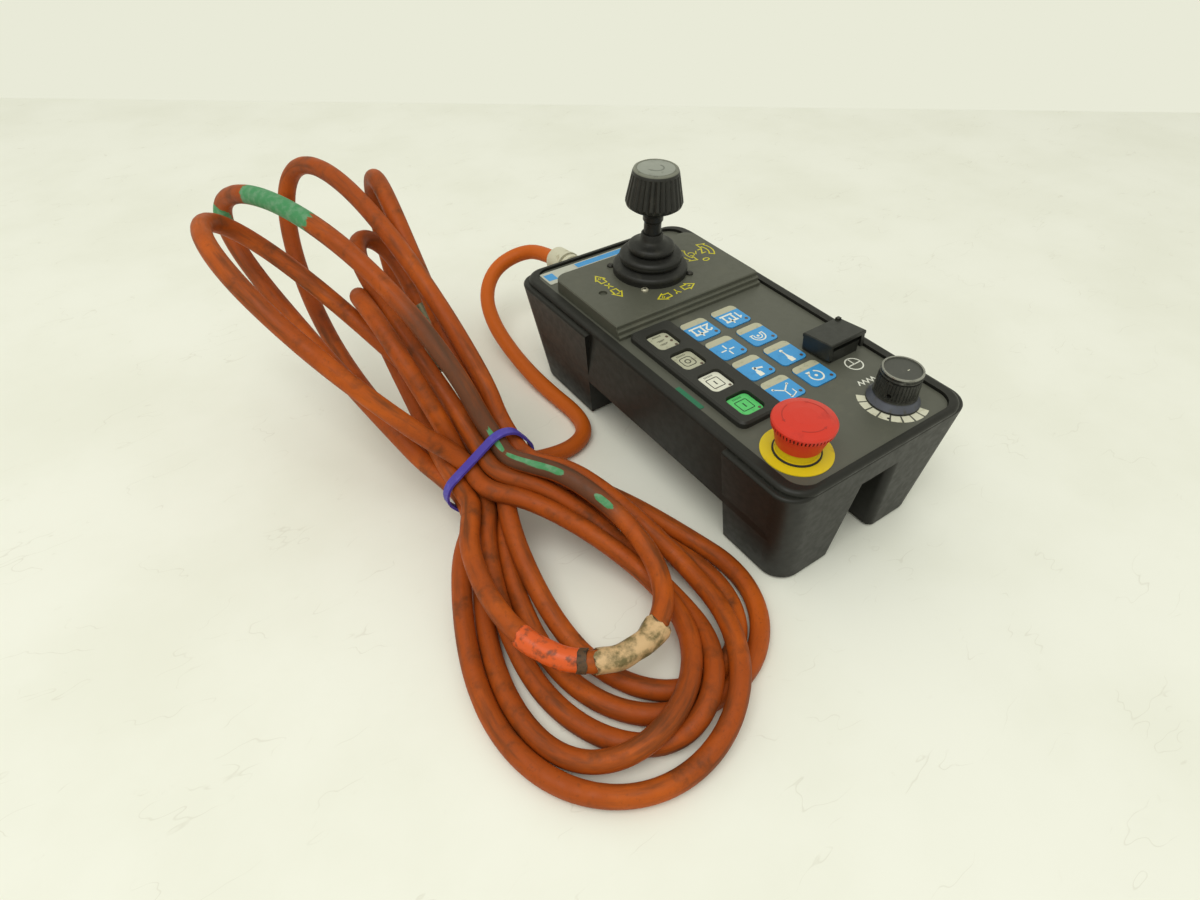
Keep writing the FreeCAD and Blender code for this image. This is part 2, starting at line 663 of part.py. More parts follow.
def override_grub_screw():
    return grub_way(3.0, 9.5, 1.6)


def override_shaft():
    return disc(DIAL_X, DIAL_Y, 3.0, 70.0, 101.0)


def override_pot():
    profile = [
        (0, 66.0), (12.0, 66.0), (12.0, PANEL_BASE), (4.5, PANEL_BASE), (4.5, 85.4), (3.05, 85.4),
        (3.05, 69.5), (0, 69.5)]
    return turned(profile, DIAL_X, DIAL_Y)


def override_nut():
    return hexagon(DIAL_X, DIAL_Y, 13.0, FILM_FACE, FILM_FACE + 2.4).cut(disc(DIAL_X, DIAL_Y, 4.5, 70, 90))


# Cable gland, built upright and then laid square to the back wall

def on_back_wall(shape):
    out = V(0, math.cos(math.radians(GLAND_TILT)), -math.sin(math.radians(GLAND_TILT)))
    place = FreeCAD.Placement(V(GLAND_X, GLAND_Y, GLAND_Z), FreeCAD.Rotation(V(0, 0, 1), out))
    return shape.transformed(place.toMatrix())


def gland_hole():
    """The hole through the wall, with room inside for the locknut."""
    return on_back_wall(disc(0, 0, 8.0, -12, 6).fuse(disc(0, 0, 10.8, -12, -WALL - 0.1)))


def gland_body():
    """Threaded barrel through the wall, with a hexagon against it and a plain collar further out."""
    barrel = turned([
        (5.9, -9), (7.9, -9), (7.9, 0.05), (7.6, 0.05), (7.6, 9.5), (9.8, 9.5), (9.8, 13.5), (7.6, 13.5),
        (7.6, 20.0), (5.9, 20.0)])
    flats = hexagon(0, 0, 18.5, 0.05, 6.5).cut(disc(0, 0, 5.9, -1, 9))
    return on_back_wall(barrel.fuse(flats).removeSplitter())


def gland_nut():
    """Clamping nut with a rim at its inner end and a rounded nose."""
    nose = GLAND_LENGTH
    profile = [
        (7.7, 15.5), (10.6, 15.5), (10.6, 18.4), (10.2, 18.8), (10.0, nose - 2.2), (8.6, nose), (5.9, nose),
        (5.9, nose - 3.0), (7.7, 27.4)]
    return on_back_wall(turned(profile))


def gland_seal():
    return on_back_wall(turned([(5.8, 20.2), (7.5, 20.2), (7.5, 27.0), (5.8, 30.0)]))


def gland_locknut():
    return on_back_wall(hexagon(0, 0, 17.6, -7.2, -WALL - 0.1).cut(disc(0, 0, 7.9, -9, 0)))


# Boards

def board_corners():
    return [(x, y) for x in (-40.0, 40.0) for y in (-61.0, 21.0)]


def main_board():
    top = 47.6
    board = rounded_plate(-44.0, 44.0, -66.0, 26.0, 46.0, top, 2.0)
    chips = [box(-20, 8, -20, -12, top, 51.5), box(-6, 26, -44, -30, top, 50.5)]
    chips.append(box(-34, 30, 12, 18, top, 55.0))
    holes = [disc(x, y, 1.55, 45, 49) for x, y in board_corners()]
    return board.multiFuse(chips).cut(Part.makeCompound(holes))


def board_standoffs():
    floor = TRAY_Z + WALL
    posts = [disc(x, y, 3.2, floor, 46.0).cut(disc(x, y, 1.5, floor + 1, 47.0)) for x, y in board_corners()]
    return Part.makeCompound(posts)


def board_screws():
    screws = []
    for x, y in board_corners():
        screws.append(turned([(0, 42), (1.5, 42), (1.5, 47.6), (2.8, 47.6), (2.8, 49.4), (0, 49.8)], x, y))
    return Part.makeCompound(screws)


# Cable

def tube_path(points, share):
    """Straight runs joined by tangent arcs, with the radius of each bend."""
    start = points[0]
    edges = []
    radii = []
    for before, here, after in zip(points, points[1:], points[2:]):
        back = before - here
        ahead = after - here
        reach = share * min(back.Length, ahead.Length)
        back.normalize()
        ahead.normalize()
        half_turn = (math.pi - back.getAngle(ahead)) / 2
        radius = reach / math.tan(half_turn)
        bisector = back + ahead
        bisector.normalize()
        inside = radius / math.cos(half_turn) - radius
        entry = here + back * reach
        leave = here + ahead * reach
        edges.append(Part.makeLine(start, entry))
        edges.append(Part.Arc(entry, here + bisector * inside, leave).toShape())
        radii.append(radius)
        start = leave
    edges.append(Part.makeLine(start, points[-1]))
    return Part.Wire(edges), radii


def cable_lead():
    points = [V(*place) for place in LEAD_ROUTE]
    path, radii = tube_path(points, LEAD_ARC)
    section = Part.Wire([Part.makeCircle(CABLE / 2, points[0], points[1] - points[0])])
    tube = path.makePipeShell([section], True, False)
    print("lead bend radii:", [round(radius, 1) for radius in radii])
    print("lead length", round(path.Length, 1), "volume", round(tube.Volume),
          "of", round(math.pi * CABLE ** 2 / 4 * path.Length))
    return tube


def loop_face(far_x, far_y, far_r, near_x, near_y, near_r):
    """A drop outline: a far circle and a near one with their outer tangents, flat at z = 0."""
    far = V(far_x, far_y, 0)
    near = V(near_x, near_y, 0)
    axis = near - far
    heading = math.atan2(axis.y, axis.x)
    lean = math.acos((far_r - near_r) / axis.Length)

    def rim(centre, radius, angle):
        return centre + V(radius * math.cos(angle), radius * math.sin(angle), 0)

    left = heading + lean
    right = heading - lean
    edges = [
        Part.Arc(rim(far, far_r, left), rim(far, far_r, heading + math.pi), rim(far, far_r, right)).toShape(),
        Part.makeLine(rim(far, far_r, right), rim(near, near_r, right)),
        Part.Arc(rim(near, near_r, right), rim(near, near_r, heading), rim(near, near_r, left)).toShape(),
        Part.makeLine(rim(near, near_r, left), rim(far, far_r, left))]
    return Part.Face(Part.Wire(edges))


def loop_ring(outer, inner, thickness, bevel):
    """A flat ring of cable turns: a drop outline with a drop-shaped opening."""
    ring = loop_face(*outer).extrude(V(0, 0, thickness))
    ring = ring.makeChamfer(bevel, [edge for edge in ring.Edges if edge.BoundBox.ZLength < 0.01])
    return ring.cut(loop_face(*inner).extrude(V(0, 0, thickness)))


def cable_hank():
    """The tied hank: loops lying on the floor in front, loops rising behind, pinched at the band."""
    x, y, z = HANK_WAIST
    far_x, far_y = HANK_FRONT
    front_rim = (far_x, far_y, HANK_FRONT_R, x, y, HANK_WAIST_R)
    front = loop_ring(front_rim, (-163.0, -88.0, 42.0, -169.0, -26.0, 10.0), HANK_FRONT_Z, 9.0)
    back_rim = (0, HANK_BACK_REACH, HANK_BACK_R, 0, 0, HANK_WAIST_R)
    back = loop_ring(back_rim, (0, 186.0, 32.0, 0, 58.0, 9.0), HANK_BACK_T, 14.0)
    back.translate(V(0, 0, -HANK_BACK_T / 2))
    back.rotate(V(0, 0, 0), V(1, 0, 0), HANK_BACK_RISE)
    back.rotate(V(0, 0, 0), V(0, 0, 1), HANK_BACK_TURN)
    back.translate(V(x, y, z))
    waist = hank_waist(0.0, -14.0, 14.0)
    clear = BAND_W / 2 + 2
    front = front.cut(box(-300, 0, y - clear, y + 60, -1, 60))
    back = back.cut(box(-300, 0, y - 60, y + clear, -10, 80))
    return joined([front, back.cut(plug_room()), waist])


def hank_waist(grow, back, front):
    """The bundle where the band holds it: a rounded block along the hank."""
    x, y, z = HANK_WAIST
    width = 2 * (HANK_WAIST_W + grow)
    height = 2 * (HANK_WAIST_H + grow)
    block = centred_plate(0, 0, width, height, back, front, HANK_WAIST_CORNER + grow)
    block.rotate(V(0, 0, 0), V(1, 0, 0), 90)
    block.rotate(V(0, 0, 0), V(0, 1, 0), -HANK_WAIST_LEAN)
    block.translate(V(x, y, z))
    return block


def hank_band():
    return hank_waist(BAND_T, -BAND_W / 2, BAND_W / 2).cut(hank_waist(0.0, -BAND_W, BAND_W))


def on_plug_axis(shape):
    """Lays a shape that was built upright along the plug, which points down and forward."""
    shape.rotate(V(0, 0, 0), V(1, 0, 0), 90 + PLUG_DROP)
    shape.translate(V(*PLUG_PLACE))
    return shape


def plug_room():
    """The space among the loops that the plug lies in, open above and outward."""
    return on_plug_axis(box(-PLUG_ROOM, 80, -PLUG_ROOM, 80, 0, PLUG_LENGTH + 8))


def cable_connector():
    """Round plug on the cable's far end, tucked in among the loops."""
    end = PLUG_LENGTH
    profile = [
        (0, 0), (6.4, 0), (7.4, 12), (10.4, 14), (10.4, 26), (11.4, 27), (11.4, end), (9.4, end),
        (9.4, end - 8), (0, end - 8)]
    return on_plug_axis(turned(profile))


def build():
    parts = {
        "housing_tub": housing_tub(), "front_panel": front_panel(), "panel_overlay": panel_overlay(),
        "panel_screws": panel_screws(), "rear_label_strip": rear_label_strip(),
        "side_label_strip": side_label_strip(), "joystick_plate": joystick_plate(),
        "joystick_plate_screws": joystick_plate_screws(), "joystick_boot": joystick_boot(),
        "joystick_housing": joystick_housing(), "gimbal_ring": gimbal_ring(),
        "stick_shaft": stick_shaft(), "twist_knob": twist_knob(), "joystick_pots": joystick_pots(),
        "button_bezel": button_bezel(), "button_housings": button_housings(),
        "keypad_board": keypad_board(), "key_domes": key_domes(), "rocker_frame": rocker_frame(),
        "rocker_paddle": rocker_paddle(), "rocker_pin": rocker_axle(1.2),
        "rocker_switch_body": rocker_switch_body(), "estop_legend_ring": estop_legend_ring(),
        "estop_body": estop_body(), "estop_head": estop_head(), "estop_stem": estop_stem(),
        "estop_nut": estop_nut(), "estop_contact_block": estop_contact_block(),
        "override_knob": override_knob(), "override_knob_ring": override_knob_ring(),
        "override_knob_cap": override_knob_cap(), "override_grub_screw": override_grub_screw(),
        "override_shaft": override_shaft(), "override_pot": override_pot(),
        "override_nut": override_nut(), "gland_body": gland_body(), "gland_nut": gland_nut(),
        "gland_seal": gland_seal(), "gland_locknut": gland_locknut(), "main_board": main_board(),
        "board_standoffs": board_standoffs(), "board_screws": board_screws(),
        "cable_lead": cable_lead(), "cable_hank": cable_hank(), "hank_band": hank_band(),
        "cable_connector": cable_connector()}
    for i, y in enumerate(BUTTON_ROWS):
        parts[f"push_button_{i + 1}"] = push_button(y)
    for i, (x, y) in enumerate(key_centres()):
        parts[f"membrane_key_{i + 1}"] = membrane_key(x, y)
    return parts


os.makedirs("parts", exist_ok=True)
for name, shape in build().items():
    shape.exportStep(f"parts/{name}.step")
    print(name, "valid" if shape.isValid() else "INVALID", len(shape.Solids), "solids", round(shape.Volume))
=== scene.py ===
"""Looks of the hand controller of a coordinate measuring machine, dressed over its packed construction."""

import logging
import math
from dataclasses import dataclass
from enum import Enum
from typing import Sequence

import bmesh
import bpy
import numpy as np
from mathutils import Matrix, Vector


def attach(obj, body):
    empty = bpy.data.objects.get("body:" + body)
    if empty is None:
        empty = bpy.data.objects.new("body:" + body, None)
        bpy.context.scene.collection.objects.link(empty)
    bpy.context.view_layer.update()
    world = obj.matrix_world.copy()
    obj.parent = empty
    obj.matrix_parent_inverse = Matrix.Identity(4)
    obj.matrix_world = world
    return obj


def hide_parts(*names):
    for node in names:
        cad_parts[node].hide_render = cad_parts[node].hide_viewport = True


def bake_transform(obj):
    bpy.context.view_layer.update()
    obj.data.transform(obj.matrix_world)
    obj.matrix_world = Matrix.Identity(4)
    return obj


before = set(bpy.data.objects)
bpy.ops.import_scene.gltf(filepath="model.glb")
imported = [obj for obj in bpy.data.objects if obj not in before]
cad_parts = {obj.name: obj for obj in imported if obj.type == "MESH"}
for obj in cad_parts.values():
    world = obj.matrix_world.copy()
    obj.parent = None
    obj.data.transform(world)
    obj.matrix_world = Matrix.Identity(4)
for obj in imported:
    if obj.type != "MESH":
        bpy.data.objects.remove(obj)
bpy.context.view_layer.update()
MM = 0.001
INK = 0.05              # thickness of a printed mark, in mm
READING = 180.0         # signs are read from the joystick's end, so their up is -Y
ZONE_EASE = 0.3         # half of the soft edge between two zones of a finish, in mm
SHARP = 50.0            # degrees from which an edge of a smooth mesh shows
WELD = 1e-7             # points nearer to each other than this become one, in metres
LATHE_SIDES = 72
DISC_SIDES = 24
CORNER_STEPS = 6
ARC_STEPS = 6           # the fewest steps along a printed arc
ARC_STEP = 12           # degrees of each step along a longer one
MITRE = 0.4             # the least cosine to which the corner of a printed line is drawn out
LOG = logging.getLogger("hand_controller")
Colour = tuple[int, int, int]
Point2 = tuple[float, float]
Point3 = tuple[float, float, float]
Socket = bpy.types.NodeSocket


def linear(colour: Colour) -> tuple[float, float, float, float]:
    """Turns a display colour of 0 to 255 into the renderer's linear values.

    Args:
        colour: red, green and blue as they show on a screen.
    Returns:
        Linear red, green, blue and an alpha of 1.
    """
    parts = [c / 255 for c in colour]
    values = [p / 12.92 if p <= 0.04045 else ((p + 0.055) / 1.055) ** 2.4 for p in parts]
    return (*values, 1.0)


def smooth(value: np.ndarray) -> np.ndarray:
    """Eases values from 0 to 1 with flat ends."""
    part = np.clip(value, 0, 1)
    return part * part * (3 - 2 * part)


# Shading

class Nodes:
    """A node tree under construction."""

    def __init__(self, tree: bpy.types.NodeTree) -> None:
        """Takes up a tree."""
        self.tree = tree

    def put(self, socket: Socket, value: object) -> None:
        """Links a socket to another, or sets its constant.

        Args:
            socket: the input.
            value: the output that it takes, or its constant.
        """
        if isinstance(value, Socket):
            self.tree.links.new(value, socket)
        else:
            socket.default_value = value

    def node(self, kind: str, inputs: dict[str | int, object], **settings: object) -> bpy.types.Node:
        """Adds a node.

        Args:
            kind: the node's type name.
            inputs: a constant or a socket for each input, by its name or number.
            settings: properties of the node by name.
        Returns:
            The new node.
        """
        made = self.tree.nodes.new(kind)
        for key, value in settings.items():
            setattr(made, key, value)
        for key, value in inputs.items():
            self.put(made.inputs[key], value)
        return made

    def maths(self, operation: str, first: object, second: object = 0.0) -> Socket:
        """One arithmetic step on one or two values."""
        return self.node("ShaderNodeMath", {0: first, 1: second}, operation=operation).outputs[0]


class Bench(Nodes):
    """A material under construction, with short calls for the nodes that finishes share."""

    def __init__(self, name: str) -> None:
        """Starts a material with a plain surface shader.

        Args:
            name: the material's name.
        """
        self.material = bpy.data.materials.new(name)
        self.material.use_nodes = True
        super().__init__(self.material.node_tree)
        self.surface = self.tree.nodes["Principled BSDF"]

    def place(self, stretch: Point3 = (1, 1, 1)) -> Socket:
        """Object coordinates, stretched along each axis."""
        here = self.node("ShaderNodeTexCoord", {}).outputs["Object"]
        return self.node("ShaderNodeMapping", {"Vector": here, "Scale": stretch}).outputs["Vector"]

    def attribute(self, name: str, output: str = "Fac") -> Socket:
        """What the mesh carries at its points under a name, as a number or as a vector."""
        return self.node("ShaderNodeAttribute", {}, attribute_name=name).outputs[output]

    def noise(self, size: float, detail: float = 4, rough: float = 0.55, stretch: Point3 = (1, 1, 1),
              place: Socket | None = None) -> Socket:
        """Cloudy noise.

        Args:
            size: width of a cloud in millimetres.
            detail: how many finer layers it has.
            rough: how strong the finer layers are.
            stretch: squeeze along each axis.
            place: coordinates in metres to use instead of the object's.
        Returns:
            The noise's value.
        """
        where = place or self.place(stretch)
        inputs = {"Vector": where, "Scale": 1 / (size * MM), "Detail": detail, "Roughness": rough}
        return self.node("ShaderNodeTexNoise", inputs).outputs["Fac"]

    def step(self, value: Socket, low: float, high: float, bottom: float = 0, top: float = 1) -> Socket:
        """Maps a value from low..high to bottom..top with eased, clamped ends."""
        inputs = {"Value": value, "From Min": low, "From Max": high, "To Min": bottom, "To Max": top}
        return self.node("ShaderNodeMapRange", inputs, interpolation_type="SMOOTHSTEP").outputs["Result"]

    def mix(self, share: object, first: object, second: object) -> Socket:
        """Mixes two colours by a share from 0 to 1."""
        return self.node("ShaderNodeMix", {"Factor": share, 6: first, 7: second}, data_type="RGBA").outputs[2]

    def dot(self, first: object, second: object) -> Socket:
        """How far one vector goes along another."""
        made = self.node("ShaderNodeVectorMath", {0: first, 1: second}, operation="DOT_PRODUCT")
        return made.outputs["Value"]

    def edges(self, width: float) -> Socket:
        """How sharply the surface turns, for worn edges.

        Args:
            width: how far it looks to each side, in millimetres.
        Returns:
            A mask of 1 at edges.
        """
        bevel = self.node("ShaderNodeBevel", {"Radius": width * MM}, samples=4).outputs["Normal"]
        flat = self.node("ShaderNodeNewGeometry", {}).outputs["Normal"]
        return self.step(self.maths("SUBTRACT", 1.0, self.dot(bevel, flat)), 0.02, 0.2)

    def beyond(self, direction: Point3, limit: float) -> Socket:
        """A mask of 1 where the place along a direction is past a limit in millimetres."""
        along = self.dot(self.place(), direction)
        return self.step(along, (limit - ZONE_EASE) * MM, (limit + ZONE_EASE) * MM)

    def grooves(self, ring: "GrooveShade") -> Socket:
        """Finds a ring of upright grooves, to darken them with painted shade.

        Args:
            ring: where they are and how many.
        Returns:
            A mask of 1 inside them.
        """
        parts = self.node("ShaderNodeSeparateXYZ", {0: self.place()}).outputs
        x, y = (self.maths("SUBTRACT", parts[i], ring.centre[i] * MM) for i in (0, 1))
        turn = self.maths("MULTIPLY", self.maths("ARCTAN2", y, x), ring.count)
        inside = self.maths("MULTIPLY", self.beyond((0, 0, 1), ring.low), self.beyond((0, 0, -1), -ring.high))
        return self.maths("MULTIPLY", self.step(self.maths("COSINE", turn), 0.2, 0.7), inside)

    def frayed(self, name: str, size: float, share: float, place: Socket) -> Socket:
        """A number that the mesh carries, with a share of noise added so that its edge frays."""
        fray = self.maths("MULTIPLY", self.noise(size, 5, place=place), share)
        return self.maths("ADD", self.attribute(name), fray)

    def bump(self, height: Socket, depth: float) -> None:
        """Raises the surface by a height map, depth in millimetres."""
        made = self.node("ShaderNodeBump", {"Distance": depth * MM, "Height": height})
        self.put(self.surface.inputs["Normal"], made.outputs["Normal"])

    def set(self, **values: object) -> None:
        """Sets or links inputs of the surface shader, an underscore standing for a space."""
        for key, value in values.items():
            self.put(self.surface.inputs[key.replace("_", " ")], value)


@dataclass(frozen=True)
class Zone:
    """Another colour for the part of a piece that lies short of a limit, in mm along a direction."""

    colour: Colour
    direction: Point3
    limit: float


@dataclass(frozen=True)
class GrooveShade:
    """Painted shade in a ring of upright grooves between two heights, in mm."""

    colour: Colour
    centre: Point2
    count: int
    low: float
    high: float


@dataclass(frozen=True)
class Finish:
    """A hard surface: its colour, the grime or bloom on it, its gloss and its grain.

    Colours are as seen on a screen, sizes in millimetres.
    """

    name: str
    colour: Colour
    grime: Colour
    grime_size: float = 14.0
    grime_share: float = 0.35
    gloss: tuple[float, float] = (0.4, 0.55)
    grain: float = 0.5
    grain_depth: float = 0.02
    metal: float = 0.0
    worn: Colour | None = None
    worn_width: float = 0.5
    specular: float = 0.4
    zone: Zone | None = None
    grooves: GrooveShade | None = None
    stretch: Point3 = (1, 1, 1)

    def material(self) -> bpy.types.Material:
        """Builds the finish, once for each name.

        Returns:
            The node material.
        """
        found = bpy.data.materials.get(self.name)
        if found:
            return found
        bench = Bench(self.name)
        clouds = bench.noise(self.grime_size, 6, 0.62, self.stretch)
        share = bench.step(clouds, 0.64 - 0.3 * self.grime_share, 0.80 - 0.2 * self.grime_share)
        colour: object = linear(self.colour)
        if self.zone:
            past = bench.beyond(self.zone.direction, self.zone.limit)
            colour = bench.mix(past, linear(self.zone.colour), colour)
        colour = bench.mix(share, colour, linear(self.grime))
        if self.worn:
            patchy = bench.step(bench.noise(3.0), 0.42, 0.62)
            rub = bench.maths("MULTIPLY", bench.edges(self.worn_width), patchy)
            colour = bench.mix(rub, colour, linear(self.worn))
        # painted shade: the grooves are darkened where shadow falls in them
        if self.grooves:
            colour = bench.mix(bench.grooves(self.grooves), colour, linear(self.grooves.colour))
        rough = bench.step(bench.noise(5.0, 5), 0.3, 0.7, *self.gloss)
        bench.set(Base_Color=colour, Roughness=rough, Metallic=self.metal, Specular_IOR_Level=self.specular)
        bench.bump(bench.noise(self.grain, 3), self.grain_depth)
        return bench.material


class Finishes(Enum):
    """Every hard finish of the controller."""

    HOUSING = Finish("housing_black_plastic", (25, 25, 21), (34, 33, 28), 26, 0.3, (0.4, 0.5), 0.6, 0.012,
                     worn=(58, 56, 48), worn_width=0.6, specular=0.3)
    FILM = Finish("panel_grey_film", (84, 85, 74), (92, 92, 79), 24, 0.3, (0.38, 0.48), 0.4, 0.008)
    PLATE = Finish("plate_grey_plastic", (80, 81, 69), (88, 88, 75), 20, 0.3, (0.4, 0.5), 0.45, 0.012,
                   worn=(100, 99, 84), worn_width=0.4)
    BEZEL = Finish("bezel_black_plastic", (40, 40, 36), (50, 49, 43), 14, 0.3, (0.4, 0.5), 0.5, 0.012,
                   worn=(74, 72, 62), worn_width=0.4, specular=0.3)
    RUBBER = Finish("boot_black_rubber", (29, 29, 26), (45, 44, 37), 8, 0.4, (0.46, 0.58), 0.8, 0.02,
                    specular=0.35)
    KNOB = Finish("knob_black_plastic", (30, 30, 26), (48, 47, 39), 8, 0.35, (0.36, 0.5), 0.6, 0.02,
                  worn=(86, 84, 68), worn_width=0.35, zone=Zone((118, 120, 106), (0, 0, -1), -163.6))
    KNOB_CAP = Finish("knob_cap_grey", (140, 144, 132), (122, 126, 114), 7, 0.4, (0.3, 0.42), 0.4, 0.01)
    KNOB_MARK = Finish("knob_mark_grey", (104, 108, 98), (118, 122, 110), 3, 0.4, (0.34, 0.46), 0.4, 0.008)
    SHAFT = Finish("shaft_black_coat", (28, 28, 25), (50, 48, 41), 5, 0.3, (0.32, 0.46), 0.5, 0.02)
    ROCKER = Finish("rocker_black_plastic", (30, 31, 27), (44, 44, 37), 12, 0.3, (0.34, 0.44), 0.4, 0.012,
                    worn=(78, 76, 62), worn_width=0.35)
    PLATE_SCREW = Finish("plate_screw_steel", (44, 43, 38), (62, 60, 52), 2.5, 0.4, (0.34, 0.5), 0.3, 0.01,
                         0.5, zone=Zone((176, 172, 150), (1, 1, 0), 60.0))
    DARK_STEEL = Finish("dark_steel", (60, 59, 54), (40, 38, 32), 3, 0.5, (0.38, 0.55), 0.3, 0.01, 0.6)
    ALLOY = Finish("mill_alloy", (150, 151, 146), (124, 123, 114), 9, 0.4, (0.35, 0.5), 0.4, 0.01, 0.9)
    DIAL = Finish("dial_black_anodised", (52, 52, 48), (74, 74, 68), 4, 0.4, (0.3, 0.42), 0.35, 0.012, 0.3,
                  worn=(112, 112, 104), worn_width=0.25, zone=Zone((82, 85, 94), (0, 0, 1), 87.6),
                  stretch=(1, 1, 0.2))
    DIAL_CAP = Finish("dial_cap_grey", (66, 67, 61), (76, 76, 69), 7, 0.35, (0.34, 0.44), 0.35, 0.008)
    # painted highlight: the ring's top edge is pale where it catches the light; below 103.9 mm it keeps its
    # own dark grey
    DIAL_RING = Finish("dial_ring_painted_highlight", (148, 148, 140), (104, 104, 98), 5, 0.4, (0.24, 0.34), 0.3,
                       0.004, 0.7, specular=0.6, zone=Zone((62, 62, 58), (0, 0, 1), 103.9))
    STOP_RED = Finish("stop_red_plastic", (206, 48, 28), (190, 42, 26), 12, 0.35, (0.34, 0.46), 0.6, 0.01,
                      worn=(222, 84, 58), worn_width=0.4,
                      # painted shade in the grooves round the head's grip
                      grooves=GrooveShade((84, 26, 20), (-42.9, -107.6), 54, 99.9, 103.3))
    STOP_MARK = Finish("stop_mark_dark_red", (176, 40, 26), (158, 36, 24), 4, 0.4, (0.4, 0.5), 0.5, 0.008)
    STOP_YELLOW = Finish("stop_yellow_plastic", (214, 188, 22), (176, 150, 30), 9, 0.35, (0.36, 0.5), 0.5,
                         0.015)
    LEGEND = Finish("legend_yellow_print", (218, 194, 22), (192, 166, 34), 8, 0.35, (0.42, 0.55), 0.5, 0.01)
    BUTTON_GREY = Finish("button_grey_plastic", (178, 178, 152), (150, 147, 122), 5, 0.4, (0.36, 0.5), 0.5,
                         0.012)
    BUTTON_WHITE = Finish("button_white_plastic", (222, 222, 202), (200, 196, 172), 6, 0.3, (0.34, 0.46),
                          0.5, 0.012)
    BUTTON_GREEN = Finish("button_green_plastic", (88, 196, 106), (68, 172, 88), 6, 0.3, (0.34, 0.46), 0.5,
                          0.012)
    KEY_BLUE = Finish("key_blue_film", (62, 150, 208), (54, 136, 194), 6, 0.3, (0.32, 0.42), 0.4, 0.008)
    KEY_BEIGE = Finish("key_beige_print", (182, 180, 152), (160, 157, 130), 4, 0.4, (0.36, 0.48), 0.4, 0.008)
    INK_WHITE = Finish("white_ink", (230, 231, 216), (206, 205, 186), 3, 0.35, (0.42, 0.55), 0.3, 0.006)
    INK_CREAM = Finish("cream_ink", (214, 213, 188), (188, 185, 158), 4, 0.4, (0.42, 0.55), 0.3, 0.006)
    INK_YELLOW = Finish("yellow_ink", (206, 196, 34), (172, 160, 42), 3, 0.4, (0.42, 0.55), 0.3, 0.006)
    # dark ink for the printed signs, and also the painted shade in the plate screws' sockets
    DARK_INK_AND_SHADE = Finish("dark_ink_and_socket_shade", (36, 34, 28), (56, 53, 44), 2, 0.4, (0.42, 0.55), 0.3, 0.006)
    INK_GREEN = Finish("green_ink", (20, 62, 36), (30, 80, 48), 2, 0.4, (0.42, 0.55), 0.3, 0.006)
    LENS = Finish("smoked_lens", (92, 74, 62), (58, 46, 40), 1.2, 0.4, (0.16, 0.28), 0.3, 0.004)
    LABEL_GREY = Finish("label_grey_film", (188, 190, 174), (172, 172, 154), 6, 0.35, (0.34, 0.46), 0.4,
                        0.008)
    LABEL_GREEN = Finish("label_green_film", (36, 112, 78), (28, 92, 64), 6, 0.4, (0.36, 0.5), 0.4, 0.008)
    GLAND = Finish("gland_cream_plastic", (204, 201, 174), (168, 158, 126), 6, 0.35, (0.4, 0.55), 0.5, 0.02,
                   worn=(222, 220, 198), worn_width=0.4)
    SEAL = Finish("seal_black_rubber", (24, 24, 22), (40, 39, 34), 4, 0.4, (0.5, 0.65), 0.5, 0.02)
    BOARD = Finish("board_green_laminate", (30, 84, 52), (44, 100, 62), 7, 0.4, (0.32, 0.45), 0.5, 0.01)
    MECHANISM = Finish("mechanism_grey_plastic", (74, 76, 76), (92, 93, 90), 8, 0.35, (0.4, 0.52), 0.5, 0.015)
    BAND = Finish("band_purple_rubber", (72, 60, 158), (88, 78, 174), 5, 0.4, (0.42, 0.56), 0.6, 0.03)
    PLUG = Finish("plug_olive_metal", (112, 112, 86), (78, 76, 56), 4, 0.45, (0.36, 0.52), 0.4, 0.015, 0.5,
                  worn=(160, 156, 130), worn_width=0.4)
    TAPE_ORANGE = Finish("tape_bright_orange", (216, 88, 26), (122, 58, 26), 6, 0.55, (0.34, 0.5), 1.5, 0.1,
                         worn=(48, 36, 24), worn_width=1.4)
    TAPE_TORN = Finish("tape_torn_beige", (206, 172, 124), (108, 96, 56), 8, 0.8, (0.38, 0.6), 1.2, 0.15,
                       worn=(56, 50, 32), worn_width=1.4)
    TAPE_EDGE = Finish("tape_dark_wrap", (84, 60, 36), (44, 36, 25), 2, 0.6, (0.5, 0.65), 0.6, 0.08)

    def material(self) -> bpy.types.Material:
        """The finish's node material."""
        return self.value.material()


